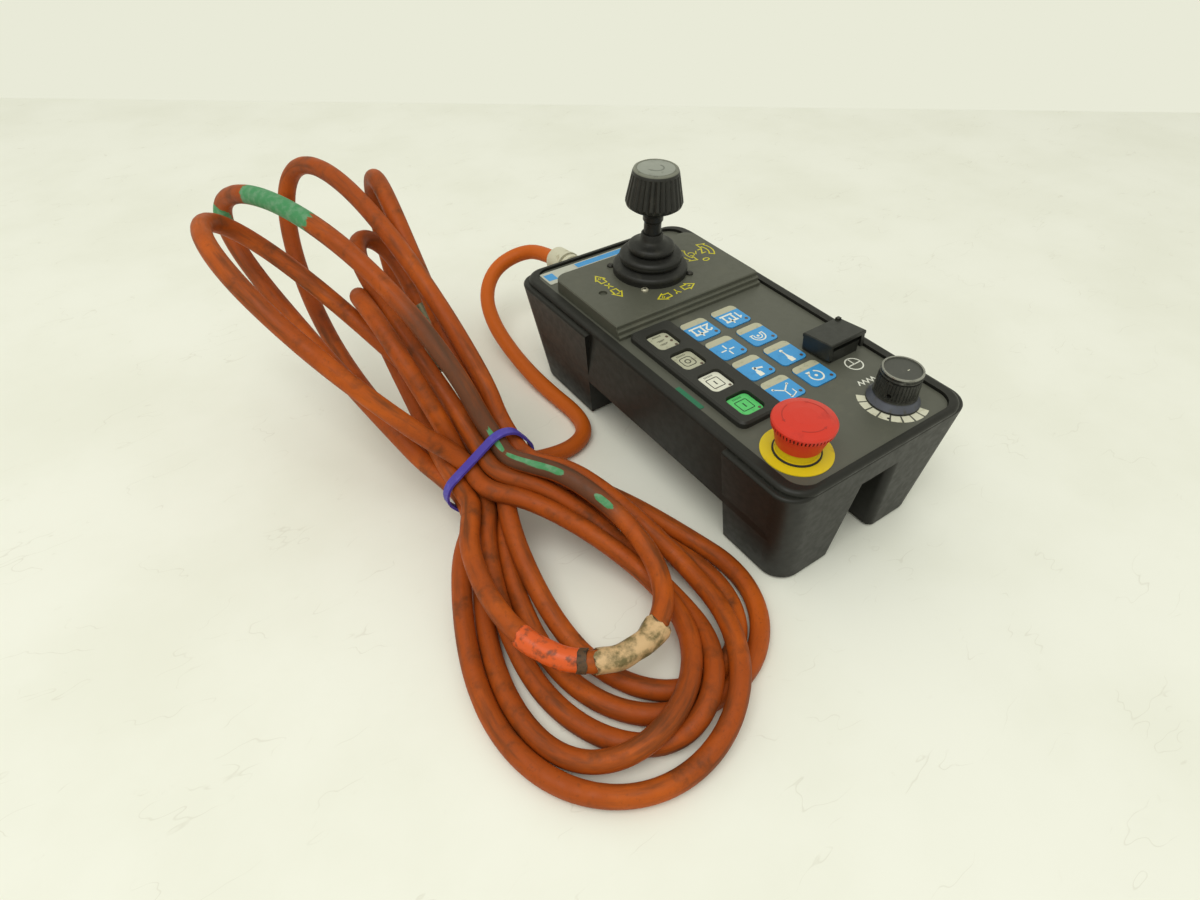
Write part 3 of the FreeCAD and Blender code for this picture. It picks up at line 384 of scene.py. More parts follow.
@dataclass(frozen=True)
class CableJacket:
    """The cable's orange jacket: clean near the gland, browned further on, daubed with green paint."""

    bright: Colour = (196, 94, 20)
    dull: Colour = (160, 72, 16)
    dirt: Colour = (86, 50, 24)
    paint: Colour = (70, 138, 88)
    paint_thin: Colour = (104, 150, 112)
    soot: Colour = (66, 56, 44)
    gloss: tuple[float, float] = (0.45, 0.62)

    def material(self) -> bpy.types.Material:
        """Builds the jacket's node material.

        Returns:
            The material, which reads the mesh's run, dirt, paint and soot attributes.
        """
        bench = Bench("cable_orange_jacket")
        run = bench.attribute("run", "Vector")
        worn = bench.attribute(Stain.DIRT.value)
        handled = bench.maths("MULTIPLY", bench.step(bench.noise(60, 4), 0.30, 0.56, 0.25), worn)
        colour = bench.mix(handled, linear(self.bright), linear(self.dull))
        streaks = bench.step(bench.noise(7, 6, 0.62, place=run), 0.44, 0.74, 0, 0.8)
        smear = bench.step(bench.noise(18, 6, 0.65), 0.46, 0.74, 0, 0.8)
        spots = bench.step(bench.noise(2.4, 6, 0.75), 0.52, 0.74, 0, 0.55)
        grime = bench.maths("MAXIMUM", bench.maths("MAXIMUM", streaks, smear), spots)
        colour = bench.mix(bench.maths("MULTIPLY", grime, worn), colour, linear(self.dirt))
        sooty = bench.step(bench.frayed(Stain.SOOT.value, 6, 0.8, run), 0.75, 1.45, 0, 0.75)
        colour = bench.mix(sooty, colour, linear(self.soot))
        painted = bench.step(bench.frayed(Stain.PAINT.value, 5, 0.7, run), 0.86, 0.92)
        shade = bench.mix(bench.step(bench.noise(4), 0.4, 0.7), linear(self.paint), linear(self.paint_thin))
        colour = bench.mix(painted, colour, shade)
        rough = bench.step(bench.noise(6, 5), 0.3, 0.7, *self.gloss)
        bench.set(Base_Color=colour, Roughness=rough, Specular_IOR_Level=0.2)
        scratches = bench.maths("ADD", bench.noise(1.2, 4), bench.maths("MULTIPLY", painted, 0.5))
        bench.bump(scratches, 0.06)
        return bench.material


# Mesh helpers

def add_object(name: str, mesh: bpy.types.Mesh, material: bpy.types.Material) -> bpy.types.Object:
    """Puts a mesh into the scene.

    Args:
        name: the piece's name.
        mesh: its mesh, in metres in the row frame.
        material: its only material.
    Returns:
        The new object, at the origin.
    """
    mesh.materials.clear()
    mesh.materials.append(material)
    made = bpy.data.objects.new(name, mesh)
    bpy.context.scene.collection.objects.link(made)
    LOG.info("made %s of %s", name, material.name)
    return made


def mesh_from(name: str, points: Sequence[Point3], faces: Sequence[Sequence[int]], soft: bool,
              merged: bool = False) -> bpy.types.Mesh:
    """Makes a mesh of points in millimetres with faces turned outward.

    Args:
        name: the mesh's name.
        points: its vertices.
        faces: vertex numbers of each face.
        soft: whether its faces shade smoothly.
        merged: whether points at one place become one, as at a pole.
    Returns:
        The mesh in metres.
    """
    mesh = bpy.data.meshes.new(name)
    mesh.from_pydata([Vector(p) * MM for p in points], [], [list(f) for f in faces])
    work = bmesh.new()
    work.from_mesh(mesh)
    if merged:
        bmesh.ops.remove_doubles(work, verts=work.verts, dist=WELD)
    bmesh.ops.recalc_face_normals(work, faces=work.faces)
    work.to_mesh(mesh)
    work.free()
    if soft:
        mesh.shade_smooth()
        mesh.set_sharp_from_angle(angle=math.radians(SHARP))
    else:
        mesh.shade_flat()
    return mesh


def lathe(name: str, profile: Sequence[Point2], centre: Point2) -> bpy.types.Mesh:
    """Turns a closed outline about an upright axis.

    Args:
        name: the mesh's name.
        profile: radius and height in mm of each point of the outline, in order round it.
        centre: where the axis stands.
    Returns:
        A closed ring, smooth round its axis.
    """
    count = len(profile)
    points: list[Point3] = []
    faces: list[list[int]] = []
    for i in range(LATHE_SIDES):
        angle, j = 2 * math.pi * i / LATHE_SIDES, (i + 1) % LATHE_SIDES
        points += [(centre[0] + r * math.cos(angle), centre[1] + r * math.sin(angle), z) for r, z in profile]
        for k in range(count):
            m = (k + 1) % count
            faces.append([i * count + k, i * count + m, j * count + m, j * count + k])
    return mesh_from(name, points, faces, True, True)


def dress(finish: Finishes, *nodes: str) -> None:
    """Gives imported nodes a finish.

    Args:
        finish: what they are made of.
        nodes: their names.
    """
    for node in nodes:
        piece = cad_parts[node]
        piece.data.materials.clear()
        piece.data.materials.append(finish.material())
        LOG.info("dressed %s in %s", node, finish.value.name)


def arc(centre: Point2, radius: float, start: float, end: float, steps: int) -> list[Point2]:
    """Points along an arc from one angle to another, in degrees."""
    angles = [math.radians(start + (end - start) * i / steps) for i in range(steps + 1)]
    return [(centre[0] + radius * math.cos(a), centre[1] + radius * math.sin(a)) for a in angles]


def turned(shape: Sequence[Point2], centre: Point2, degrees: float, size: float = 1.0) -> list[Point2]:
    """A flat shape scaled, turned about its own origin and set down at a centre."""
    c, s = size * math.cos(math.radians(degrees)), size * math.sin(math.radians(degrees))
    return [(centre[0] + c * u - s * v, centre[1] + s * u + c * v) for u, v in shape]


def rounded(half_u: float, half_v: float, corner: float) -> list[Point2]:
    """Draws a rectangle about the origin with round corners.

    Args:
        half_u: half of its width.
        half_v: half of its height.
        corner: the radius of its corners.
    Returns:
        Its outline.
    """
    outline: list[Point2] = []
    for i, (u, v) in enumerate(((1, 1), (-1, 1), (-1, -1), (1, -1))):
        middle = (u * (half_u - corner), v * (half_v - corner))
        outline += arc(middle, corner, 90 * i, 90 * i + 90, CORNER_STEPS)
    return outline


STROKES: dict[str, tuple[tuple[Point2, ...], ...]] = {
    "X": (((-0.36, -0.5), (0.36, 0.5)), ((-0.36, 0.5), (0.36, -0.5))),
    "Y": (((-0.36, 0.5), (0, 0)), ((0.36, 0.5), (0, 0)), ((0, 0.08), (0, -0.5))),
    "Z": (((-0.34, 0.5), (0.34, 0.5), (-0.34, -0.5), (0.34, -0.5)),),
    "1": (((-0.22, 0.28), (0.06, 0.5), (0.06, -0.5)),),
    "2": (((-0.32, 0.24), (-0.22, 0.42), (0.02, 0.5), (0.26, 0.4), (0.3, 0.16), (-0.34, -0.5),
           (0.36, -0.5)),),
    "+": (((-0.4, 0), (0.4, 0)), ((0, -0.4), (0, 0.4))),
    "-": (((-0.4, 0), (0.4, 0)),),
}


class Print:
    """Printed marks of one colour on one flat face, each a thin closed prism."""

    def __init__(self, name: str, finish: Finishes, height: float, origin: Point2 = (0, 0),
                 turn: float = 0, thickness: float = INK) -> None:
        """Starts an empty print.

        Args:
            name: the piece's name.
            finish: its ink.
            height: the face's height in mm.
            origin: the print's own centre on the face.
            turn: degrees that the print is turned about that centre.
            thickness: how far the ink stands up.
        """
        self.name = name
        self.finish = finish
        self.height = height
        self.origin = origin
        self.turn = turn
        self.thickness = thickness
        self.points: list[Point3] = []
        self.faces: list[list[int]] = []

    def walls(self, outline: Sequence[Point2]) -> tuple[list[int], list[int]]:
        """Adds the upright walls of an outline.

        Args:
            outline: its corners in the print's own frame.
        Returns:
            The numbers of its lower and of its upper points.
        """
        first, count = len(self.points), len(outline)
        placed = turned(outline, self.origin, self.turn)
        for level in (self.height, self.height + self.thickness):
            self.points += [(x, y, level) for x, y in placed]
        low, high = (list(range(first + k * count, first + (k + 1) * count)) for k in (0, 1))
        self.faces += [[low[i - 1], low[i], high[i], high[i - 1]] for i in range(count)]
        return low, high

    def area(self, outline: Sequence[Point2]) -> "Print":
        """Adds a filled outline."""
        self.faces += self.walls(outline)
        return self

    def line(self, path: Sequence[Point2], width: float, closed: bool = False) -> "Print":
        """Adds a line of even width, mitred at its bends.

        Args:
            path: the points along its middle.
            width: its width in mm.
            closed: whether its end joins its start.
        Returns:
            The print itself.
        """
        points = [Vector(p) for p in path]
        count = len(points)
        sides: list[tuple[Point2, Point2]] = []
        for i, here in enumerate(points):
            before = points[i - 1] if i or closed else None
            after = points[(i + 1) % count] if i < count - 1 or closed else None
            into = (here - before).normalized() if before is not None else (after - here).normalized()
            out = (after - here).normalized() if after is not None else into
            normal = Vector((-(into + out).y, (into + out).x)).normalized()
            reach = width / 2 / max(MITRE, normal.dot(Vector((-into.y, into.x))))
            sides.append((tuple(here + normal * reach), tuple(here - normal * reach)))
        lefts, rights = ([pair[k] for pair in sides] for k in (0, 1))
        if not closed:
            return self.area(lefts + rights[::-1])
        for one, other in zip(self.walls(lefts), self.walls(rights)):
            self.faces += [[one[i - 1], one[i], other[i], other[i - 1]] for i in range(count)]
        return self

    def box(self, u0: float, u1: float, v0: float, v1: float) -> "Print":
        """Adds a filled rectangle."""
        return self.area([(u0, v0), (u1, v0), (u1, v1), (u0, v1)])

    def disc(self, centre: Point2, radius: float) -> "Print":
        """Adds a filled circle."""
        return self.area(arc(centre, radius, 0, 360, DISC_SIDES)[:-1])

    def ring(self, centre: Point2, radius: float, width: float, start: float = 0,
             end: float = 360) -> "Print":
        """Adds a line along a circle or a part of it.

        Args:
            centre: the circle's centre.
            radius: its radius.
            width: the line's width.
            start: the angle at which it starts, in degrees.
            end: the angle at which it ends.
        Returns:
            The print itself.
        """
        whole = end - start >= 360
        path = arc(centre, radius, start, end, max(ARC_STEPS, round((end - start) / ARC_STEP)))
        return self.line(path[:-1] if whole else path, width, whole)

    def sign(self, character: str, centre: Point2, size: float, width: float, turn: float = 0) -> "Print":
        """Adds a letter, number or mark made of strokes.

        Args:
            character: which of STROKES.
            centre: its centre.
            size: its height in mm.
            width: the strokes' width.
            turn: degrees that it is turned about its centre.
        Returns:
            The print itself.
        """
        for stroke in STROKES[character]:
            self.line(turned(stroke, centre, turn, size), width)
        return self

    def piece(self, body: str) -> bpy.types.Object:
        """Finishes the print.

        Args:
            body: the moving body that it is printed on.
        Returns:
            The printed piece, riding on that body.
        """
        mesh = mesh_from(self.name, self.points, self.faces, False)
        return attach(add_object(self.name, mesh, self.finish.material()), body)


class Growth(Nodes):
    """A geometry node tree under construction, and the plain mesh that it gives."""

    def __init__(self, name: str) -> None:
        """Starts a tree with nothing but its own inputs.

        Args:
            name: the tree's name, and that of the piece that it makes.
        """
        super().__init__(bpy.data.node_groups.new(name, "GeometryNodeTree"))
        self.name = name
        for way in ("INPUT", "OUTPUT"):
            self.tree.interface.new_socket("Geometry", in_out=way, socket_type="NodeSocketGeometry")
        self.entry = self.tree.nodes.new("NodeGroupInput")
        self.sizes: dict[str, float | int] = {}

    def size(self, name: str, value: float | int) -> Socket:
        """Adds a named input.

        Args:
            name: what it sizes.
            value: its value in metres, radians or pieces.
        Returns:
            The socket to link from.
        """
        kind = "NodeSocketInt" if isinstance(value, int) else "NodeSocketFloat"
        socket = self.tree.interface.new_socket(name, in_out="INPUT", socket_type=kind)
        self.sizes[socket.identifier] = value
        return self.entry.outputs[name]

    def spread(self, value: Socket, low: object, high: object) -> Socket:
        """Maps a value from -0.5..0.5 to low..high."""
        inputs = {"Value": value, "From Min": -0.5, "From Max": 0.5, "To Min": low, "To Max": high}
        return self.node("ShaderNodeMapRange", inputs, clamp=False).outputs["Result"]

    def on_points(self, points: Socket, instance: Socket, **more: Socket) -> Socket:
        """Puts one instance on each point, with more inputs of that node by name."""
        inputs = {"Points": points, "Instance": instance, **more}
        return self.node("GeometryNodeInstanceOnPoints", inputs).outputs[0]

    def piece(self, instances: Socket, finish: Finishes, body: str) -> bpy.types.Object:
        """Realizes the instances, gives them a finish and evaluates the tree.

        Args:
            instances: the geometry to keep.
            finish: what it is made of.
            body: the moving body that it is on.
        Returns:
            A plain mesh piece with the tree's name, riding on that body.
        """
        real = self.node("GeometryNodeRealizeInstances", {"Geometry": instances})
        inputs = {"Geometry": real.outputs[0], "Material": finish.material()}
        dressed = self.node("GeometryNodeSetMaterial", inputs)
        self.node("NodeGroupOutput", {0: dressed.outputs[0]})
        holder = bpy.data.objects.new(self.name, bpy.data.meshes.new(self.name))
        bpy.context.scene.collection.objects.link(holder)
        modifier = holder.modifiers.new(self.name, "NODES")
        modifier.node_group = self.tree
        for identifier, value in self.sizes.items():
            modifier[identifier] = value
        bpy.context.view_layer.update()
        made = bpy.data.meshes.new_from_object(holder.evaluated_get(bpy.context.evaluated_depsgraph_get()))
        holder.modifiers.remove(modifier)
        bpy.data.objects.remove(holder)
        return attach(add_object(self.name, made, finish.material()), body)


# Cable

CLEAR = 0.5             # how much of a turn the band holds at each end, in radians
PARTING = 28.0          # how far from the band the limbs of a turn part, in mm
BULGE = 0.77            # the most that sin(s) * sin(s / 2) comes to along a turn


def sweep(count: int) -> np.ndarray:
    """Angles along a turn, from where the band lets go to where it holds again."""
    return np.linspace(CLEAR, 2 * math.pi - CLEAR, count)


def run_along(points: np.ndarray) -> np.ndarray:
    """How far each point lies along a line of points."""
    return np.concatenate([[0], np.cumsum(np.linalg.norm(np.diff(points, axis=0), axis=1))])


class Side(Enum):
    """The limb by which a turn of the hank leaves the band."""

    LEFT = 1
    RIGHT = -1


@dataclass(frozen=True)
class Turn:
    """One turn of the hank, from the band out to its fold and back. Lengths are in mm, angles in degrees."""

    first: Side
    width: float
    skew: float

    def frame(self, middle: np.ndarray) -> tuple[float, np.ndarray, np.ndarray]:
        """Where the turn lies.

        Args:
            middle: the middle of its two ends.
        Returns:
            Its reach, the direction of its fold and the direction in which its limbs part.
        """
        raise NotImplementedError

    def lean(self, share: np.ndarray) -> np.ndarray:
        """How far the whole turn leans to one side, at each share of its reach."""
        return self.skew * 4 * share * (1 - share)

    def points(self, start: np.ndarray, end: np.ndarray, count: int) -> np.ndarray:
        """Works out the turn.

        Args:
            start: where it leaves the band.
            end: where it comes back.
            count: how many points it has.
        Returns:
            The points between start and end.
        """
        s = sweep(count)
        share = np.sin(s / 2) ** 2
        middle = (start + end) / 2
        reach, axis, aside = self.frame(middle)
        bulge = np.sin(s) * np.sin(s / 2) / BULGE * smooth(reach * share / PARTING)
        out = self.first.value * self.width * bulge + self.lean(share)
        base = start + np.outer((1 - np.cos(s / 2)) / 2, end - start)
        pinch = np.cos(math.pi / 2 * share)[:, None]
        return middle + (base - middle) * pinch + np.outer(reach * share, axis) + np.outer(out, aside)


@dataclass(frozen=True)
class FloorTurn(Turn):
    """A turn in front of the band, lying on the floor or on other turns."""

    reach: float
    heading: float
    height: float
    drop: float = 130.0
    sag: float = 0.3

    def frame(self, middle: np.ndarray) -> tuple[float, np.ndarray, np.ndarray]:
        """Where the turn lies, flat and turned by its heading."""
        s, c = math.sin(math.radians(self.heading)), math.cos(math.radians(self.heading))
        return self.reach, np.array([s, -c, 0]), np.array([-c, -s, 0])

    def lean(self, share: np.ndarray) -> np.ndarray:
        """How far the turn leans to the left, most at its fold."""
        return self.skew * share

    def points(self, start: np.ndarray, end: np.ndarray, count: int) -> np.ndarray:
        """Works out the turn, which comes down to the floor a little way from the band.

        Args:
            start: where it leaves the band.
            end: where it comes back.
            count: how many points it has.
        Returns:
            The points between start and end.
        """
        made = super().points(start, end, count)
        s = sweep(count)
        low = smooth(self.reach * np.sin(s / 2) ** 2 / self.drop)
        level = start[2] + (1 - np.cos(s / 2)) / 2 * (end[2] - start[2])
        made[:, 2] = level * (1 - low) + self.height * low
        return made


@dataclass(frozen=True)
class StandingTurn(Turn):
    """A turn behind the band, held up by the cable's own stiffness."""

    tip: Point3
    roll: float

    def frame(self, middle: np.ndarray) -> tuple[float, np.ndarray, np.ndarray]:
        """Where the turn lies, rising to its tip and rolled about that line.

        Args:
            middle: the middle of its two ends.
        Returns:
            Its reach, the direction of its fold and the direction in which its limbs part.
        """
        axis = np.array(self.tip) - middle
        reach = float(np.linalg.norm(axis))
        axis = axis / reach
        level = np.cross(axis, (0, 0, 1))
        level = level / np.linalg.norm(level)
        roll = math.radians(self.roll)
        return reach, axis, -(math.cos(roll) * level + math.sin(roll) * np.cross(level, axis))


class Stain(Enum):
    """What lies on the jacket, by the name that the mesh carries it under."""

    DIRT = "dirt"
    PAINT = "paint"
    SOOT = "soot"


@dataclass(frozen=True)
class Mark:
    """A stain along part of the hank, from one turn and share of it to another."""

    kind: Stain
    start: tuple[int, float]
    end: tuple[int, float]
    strength: float = 1.0
    narrow: float = -0.2
    ease: float = 18.0


@dataclass(frozen=True)
class Tape:
    """A sleeve of tape on the taped turn, between two shares of it."""

    name: str
    finish: Finishes
    start: float
    end: float
    proud: float
    crease: float
    flare: float = 0.0
    ragged: float = 0.5


@dataclass
class Cable:
    """The orange cable: its lead, the tied hank, tapes, band and plug.

    Places are in mm and the length in metres. The turns and passes stand in the order in which the cable
    runs through them, the passes across the band and up it.
    """

    diameter: float = 11.5
    length: float = 5.7
    lead: tuple[Point3, ...] = (
        (-22.0, 145.61, 67.9), (-22.0, 189.34, 63.04), (-35.0, 207.0, 57.0), (-58.0, 208.0, 49.0),
        (-76.0, 192.0, 38.0), (-82.5, 168.0, 26.0), (-82.0, 141.0, 15.0), (-80.0, 113.0, 8.0),
        (-78.0, 86.0, 6.2), (-76.0, 61.0, 6.4), (-81.0, 41.0, 6.2), (-97.0, 32.0, 6.3),
        (-117.0, 33.0, 7.0), (-138.0, 36.0, 11.0), (-160.0, 34.0, 20.0))
    tail: tuple[Point3, ...] = (
        (-172.5, 34.0, 58.0), (-174.0, 52.0, 69.0), (-177.0, 72.0, 82.0), (-180.5, 95.0, 97.0),
        (-183.0, 118.0, 111.0), (-183.5, 138.0, 121.0), (-180.0, 156.0, 127.0), (-171.5, 168.0, 127.0),
        (-161.5, 170.0, 121.0), (-155.0, 163.0, 112.0), (-153.0, 151.0, 102.5), (-153.0, 140.0, 94.6),
        (-153.0, 129.8, 88.2))
    waist: Point3 = (-172.0, 12.0, 40.0)
    waist_lean: float = 34.0
    waist_half: float = 5.5
    waist_drop: float = 2.0
    per_turn: int = 22
    sides: int = 18
    first_side: Point3 = (0.3, 0.2, 0.93)           # any direction that no stretch of the cable starts along
    turns: tuple[FloorTurn | StandingTurn, ...] = (
        FloorTurn(Side.LEFT, 59.3, -0.4, 178.0, 13.5, 6.0),
        StandingTurn(Side.RIGHT, 38.0, 25.0, (-144.9, 204.9, 143.4), 89.6),
        FloorTurn(Side.LEFT, 44.7, 11.5, 168.4, 18.5, 10.0),
        StandingTurn(Side.RIGHT, 37.3, 3.0, (-252.3, 188.2, 152.3), -34.6),
        FloorTurn(Side.RIGHT, 56.1, 11.2, 177.3, 5.0, 20.0),
        StandingTurn(Side.LEFT, 43.4, 8.8, (-188.9, 243.1, 144.1), 68.8),
        FloorTurn(Side.RIGHT, 62.0, 17.8, 193.8, 5.4, 14.0),
        StandingTurn(Side.LEFT, 33.8, -13.3, (-238.7, 226.0, 142.2), 83.3),
        FloorTurn(Side.RIGHT, 40.2, 2.9, 138.4, 6.0, 30.0, sag=0.0),
        StandingTurn(Side.LEFT, 30.0, -0.1, (-188.5, 137.8, 102.4), 103.4),
        FloorTurn(Side.LEFT, 44.8, 9.7, 175.3, 7.5, 13.0))
    passes: tuple[Point2, ...] = (
        (-5.75, -10.0), (11.5, 0.0), (0.0, 0.0), (5.75, -10.0), (-5.75, 10.0), (-17.25, -10.0),
        (23.0, 0.0), (-23.0, 0.0), (17.25, 10.0), (-17.25, 10.0), (-11.5, 0.0), (5.75, 10.0))
    held_within: float = 12.0           # the band holds what is nearer to it than this
    free_over: float = 50.0             # and lets go over so much more
    sink_beyond: float = 50.0           # turns sink from here on
    sink_over: float = 80.0
    settle_steps: int = 160
    home_pull: float = 0.04             # share of the way back to its own turn, at each step
    shove: float = 0.8                  # share of an overlap that is pushed out, at each step
    push_spread: int = 2                # times that a push is evened out along the cable, at each step
    neighbours: float = 4.0             # diameters along the cable that don't push each other
    least_gap: float = 1e-6             # added to distances, so that none is nought
    stiffness: float = 0.3
    dirt_from: tuple[float, float] = (0.45, 0.95)   # shares of the lead between which dirt comes in
    streak_stretch: float = 7.0
    mark_edge: float = 0.2
    # The jacket isn't quite even: height, pace and shift of each wave along it
    waves: tuple[Point3, ...] = ((0.012, 37.0, 0.0), (0.01, 91.0, 1.0))
    open_end: int = 5                   # points over which a torn tape's open end flares
    seen_side: Point3 = (-0.42, -0.40, 0.81)        # the side that the paint and soot came from
    marks: tuple[Mark, ...] = (
        Mark(Stain.PAINT, (7, 0.62), (7, 0.73), ease=9),
        Mark(Stain.PAINT, (7, 0.44), (7, 0.52), 0.9, ease=6),
        Mark(Stain.SOOT, (7, 0.84), (8, 0.22), narrow=0.2),
        Mark(Stain.PAINT, (7, 0.90), (8, 0.11), 0.68, 0.88, 6),
        Mark(Stain.PAINT, (8, 0.15), (8, 0.20), 0.70, 0.88, 5))
    taped_turn: int = 8
    tapes: tuple[Tape, ...] = (
        Tape("tape_orange", Finishes.TAPE_ORANGE, 0.615, 0.722, 0.5, 0.35, ragged=0.8),
        Tape("tape_torn", Finishes.TAPE_TORN, 0.45, 0.587, 0.8, 0.6, 2.4, 1.3),
        Tape("tape_wrap", Finishes.TAPE_EDGE, 0.607, 0.618, 0.85, 0.4))

    def gates(self) -> list[np.ndarray]:
        """Finds where each pass goes through the band.

        Returns:
            Its points of entry and exit, for each pass in turn.
        """
        lean = math.radians(self.waist_lean)
        made = []
        for number, (u, v) in enumerate(self.passes):
            x, z = math.cos(lean) * u - math.sin(lean) * v, math.sin(lean) * u + math.cos(lean) * v
            back = (x, self.waist_half, z + self.waist_drop)
            front = (x, -self.waist_half, z - self.waist_drop)
            made.append(np.array(self.waist) + np.array([front, back] if number % 2 else [back, front]))
        return made

    def route(self) -> tuple[np.ndarray, np.ndarray, np.ndarray]:
        """Joins the lead, the turns and the tail into the control points of one line.

        Returns:
            The points in mm, how free each is to settle, and how fast it sinks to the floor.
        """
        gates = self.gates()
        stretches = [np.array(self.lead), gates[0][1:]]
        held = np.zeros(len(self.lead) + 1)
        free, sink = [held], [held]
        for turn, start, end in zip(self.turns, gates, gates[1:]):
            points = turn.points(start[1], end[0], self.per_turn)
            away = np.linalg.norm(points - np.array(self.waist), axis=1)
            stretches += [points, end]
            free += [smooth((away - self.held_within) / self.free_over), np.zeros(2)]
            sag = turn.sag if isinstance(turn, FloorTurn) else 0.0
            sink += [smooth((away - self.sink_beyond) / self.sink_over) * sag, np.zeros(2)]
        stretches.append(np.array(self.tail))
        held = np.zeros(len(self.tail))
        return np.vstack(stretches), np.concatenate([*free, held]), np.concatenate([*sink, held])

    def settled(self) -> np.ndarray:
        """Lets the turns sink until they lie on the floor and on each other.

        Returns:
            The control points in mm, with strands a diameter apart.
        """
        points, free, sink = self.route()
        home = points.copy()
        stiff = self.stiffness * np.minimum(1, 2 * free)[:, None]
        count = len(points)
        along = run_along(points)
        fine = np.concatenate([along, (along[1:] + along[:-1]) / 2])
        apart = np.abs(fine[:, None] - fine[None]) > self.neighbours * self.diameter
        first = np.concatenate([np.arange(count), np.arange(count - 1)])
        second = np.concatenate([np.arange(count), np.arange(1, count)])
        for _ in range(self.settle_steps):
            points[:, 2] -= sink
            pull = self.home_pull * free[:, None] * (home - points)
            pull[sink > 0, 2] = 0
            points += pull
            every = (points[first] + points[second]) / 2
            gap = every[:, None] - every[None]
            distance = np.linalg.norm(gap, axis=2) + self.least_gap
            close = (distance < self.diameter) & apart
            push = np.where(close, (self.diameter - distance) / distance, 0)
            moves = np.einsum("ij,ijk->ik", push, gap) / np.maximum(1, close.sum(1))[:, None]
            shift = np.zeros_like(points)
            np.add.at(shift, first, moves / 2)
            np.add.at(shift, second, moves / 2)
            for _ in range(self.push_spread):
                shift[1:-1] = 0.5 * shift[1:-1] + 0.25 * (shift[2:] + shift[:-2])
            points += self.shove * free[:, None] * shift
            moved = points - home
            points[1:-1] += stiff[1:-1] * ((moved[2:] + moved[:-2]) / 2 - moved[1:-1])
            points[:, 2] = np.maximum(points[:, 2], self.diameter / 2)
        return points

    def centreline(self) -> np.ndarray:
        """Runs one smooth spline along the control points.

        Returns:
            Points along the spline, in metres.
        """
        points = self.settled() * MM
        data = bpy.data.curves.new("cable_line", "CURVE")
        data.dimensions = "3D"
        data.resolution_u = 6
        spline = data.splines.new("NURBS")
        spline.points.add(len(points) - 1)
        spline.points.foreach_set("co", np.hstack([points, np.ones((len(points), 1))]).ravel())
        spline.order_u = 3
        spline.use_endpoint_u = True
        carrier = bpy.data.objects.new("cable_line", data)
        bpy.context.scene.collection.objects.link(carrier)
        bpy.context.view_layer.update()
        mesh = bpy.data.meshes.new_from_object(carrier)
        line = np.array([v.co for v in mesh.vertices])
        bpy.data.objects.remove(carrier)
        bpy.data.curves.remove(data)
        bpy.data.meshes.remove(mesh)
        return line

    def station(self, turn: int, share: float, line: np.ndarray) -> int:
        """Finds a place on the line.

        Args:
            turn: the number of a turn.
            share: how far along that turn.
            line: the centre line.
        Returns:
            The number of the line's point there.
        """
        total = len(self.lead) + 1 + len(self.turns) * (self.per_turn + 2) + len(self.tail)
        control = len(self.lead) + 1 + turn * (self.per_turn + 2) + share * (self.per_turn - 1)
        return round((control - 0.5) / (total - 2) * (len(line) - 1))

    def ring(self) -> np.ndarray:
        """The angle of each side of the tube."""
        return np.linspace(0, 2 * math.pi, self.sides, endpoint=False)

    def tube(self, name: str, line: np.ndarray, radii: np.ndarray,
             material: bpy.types.Material) -> bpy.types.Object:
        """Sweeps a round section along a line.

        Args:
            name: the piece's name.
            line: points in metres.
            radii: the radius in mm at each point, or at each point and side.
            material: its finish.
        Returns:
            A closed tube.
        """
        ahead = np.gradient(line, axis=0)
        ahead = ahead / np.linalg.norm(ahead, axis=1)[:, None]
        normal = np.cross(ahead[0], self.first_side)
        angle = self.ring()
        rings = []
        for here, direction, radius in zip(line, ahead, radii):
            normal = normal - direction * np.dot(normal, direction)
            normal = normal / np.linalg.norm(normal)
            ring = np.outer(np.cos(angle), normal) + np.outer(np.sin(angle), np.cross(direction, normal))
            rings.append(here / MM + np.reshape(radius, (-1, 1)) * ring)
        n = self.sides
        faces = [[i * n + j, i * n + (j + 1) % n, (i + 1) * n + (j + 1) % n, (i + 1) * n + j]
                 for i in range(len(line) - 1) for j in range(n)]
        faces += [list(range(n)), list(range((len(line) - 1) * n, len(line) * n))]
        return add_object(name, mesh_from(name, np.vstack(rings), faces, True), material)

    def stain(self, cable: bpy.types.Object, line: np.ndarray) -> None:
        """Writes where the jacket is dirty, painted or sooty to the mesh's points.

        Args:
            cable: the swept cable.
            line: its centre line.
        """
        count = len(line)
        mesh = cable.data
        place = np.arange(count)
        start = self.station(0, 0, line)
        clean, dirty = (share * start for share in self.dirt_from)
        dirt = np.repeat(smooth((place - clean) / (dirty - clean)), self.sides)
        amounts = {Stain.DIRT: dirt, Stain.PAINT: np.zeros(len(dirt)), Stain.SOOT: np.zeros(len(dirt))}
        facing = np.array([v.normal for v in mesh.vertices]) @ np.array(self.seen_side)
        for mark in self.marks:
            low, high = (self.station(*end, line) for end in (mark.start, mark.end))
            inside = smooth((place - low) / mark.ease + 0.5) * smooth((high - place) / mark.ease + 0.5)
            upper = smooth((facing - mark.narrow) / self.mark_edge + 0.5)
            amount = mark.strength * np.repeat(inside, self.sides) * upper
            amounts[mark.kind] = np.maximum(amounts[mark.kind], amount)
        for kind, values in amounts.items():
            layer = mesh.attributes.new(kind.value, "FLOAT", "POINT")
            layer.data.foreach_set("value", values.astype(np.float32))
        along = np.repeat(run_along(line), self.sides) / self.streak_stretch
        turn = np.tile(self.ring(), count)
        radius = self.diameter / 2 * MM
        run = np.stack([radius * np.cos(turn), radius * np.sin(turn), along], axis=1).astype(np.float32)
        mesh.attributes.new("run", "FLOAT_VECTOR", "POINT").data.foreach_set("vector", run.ravel())

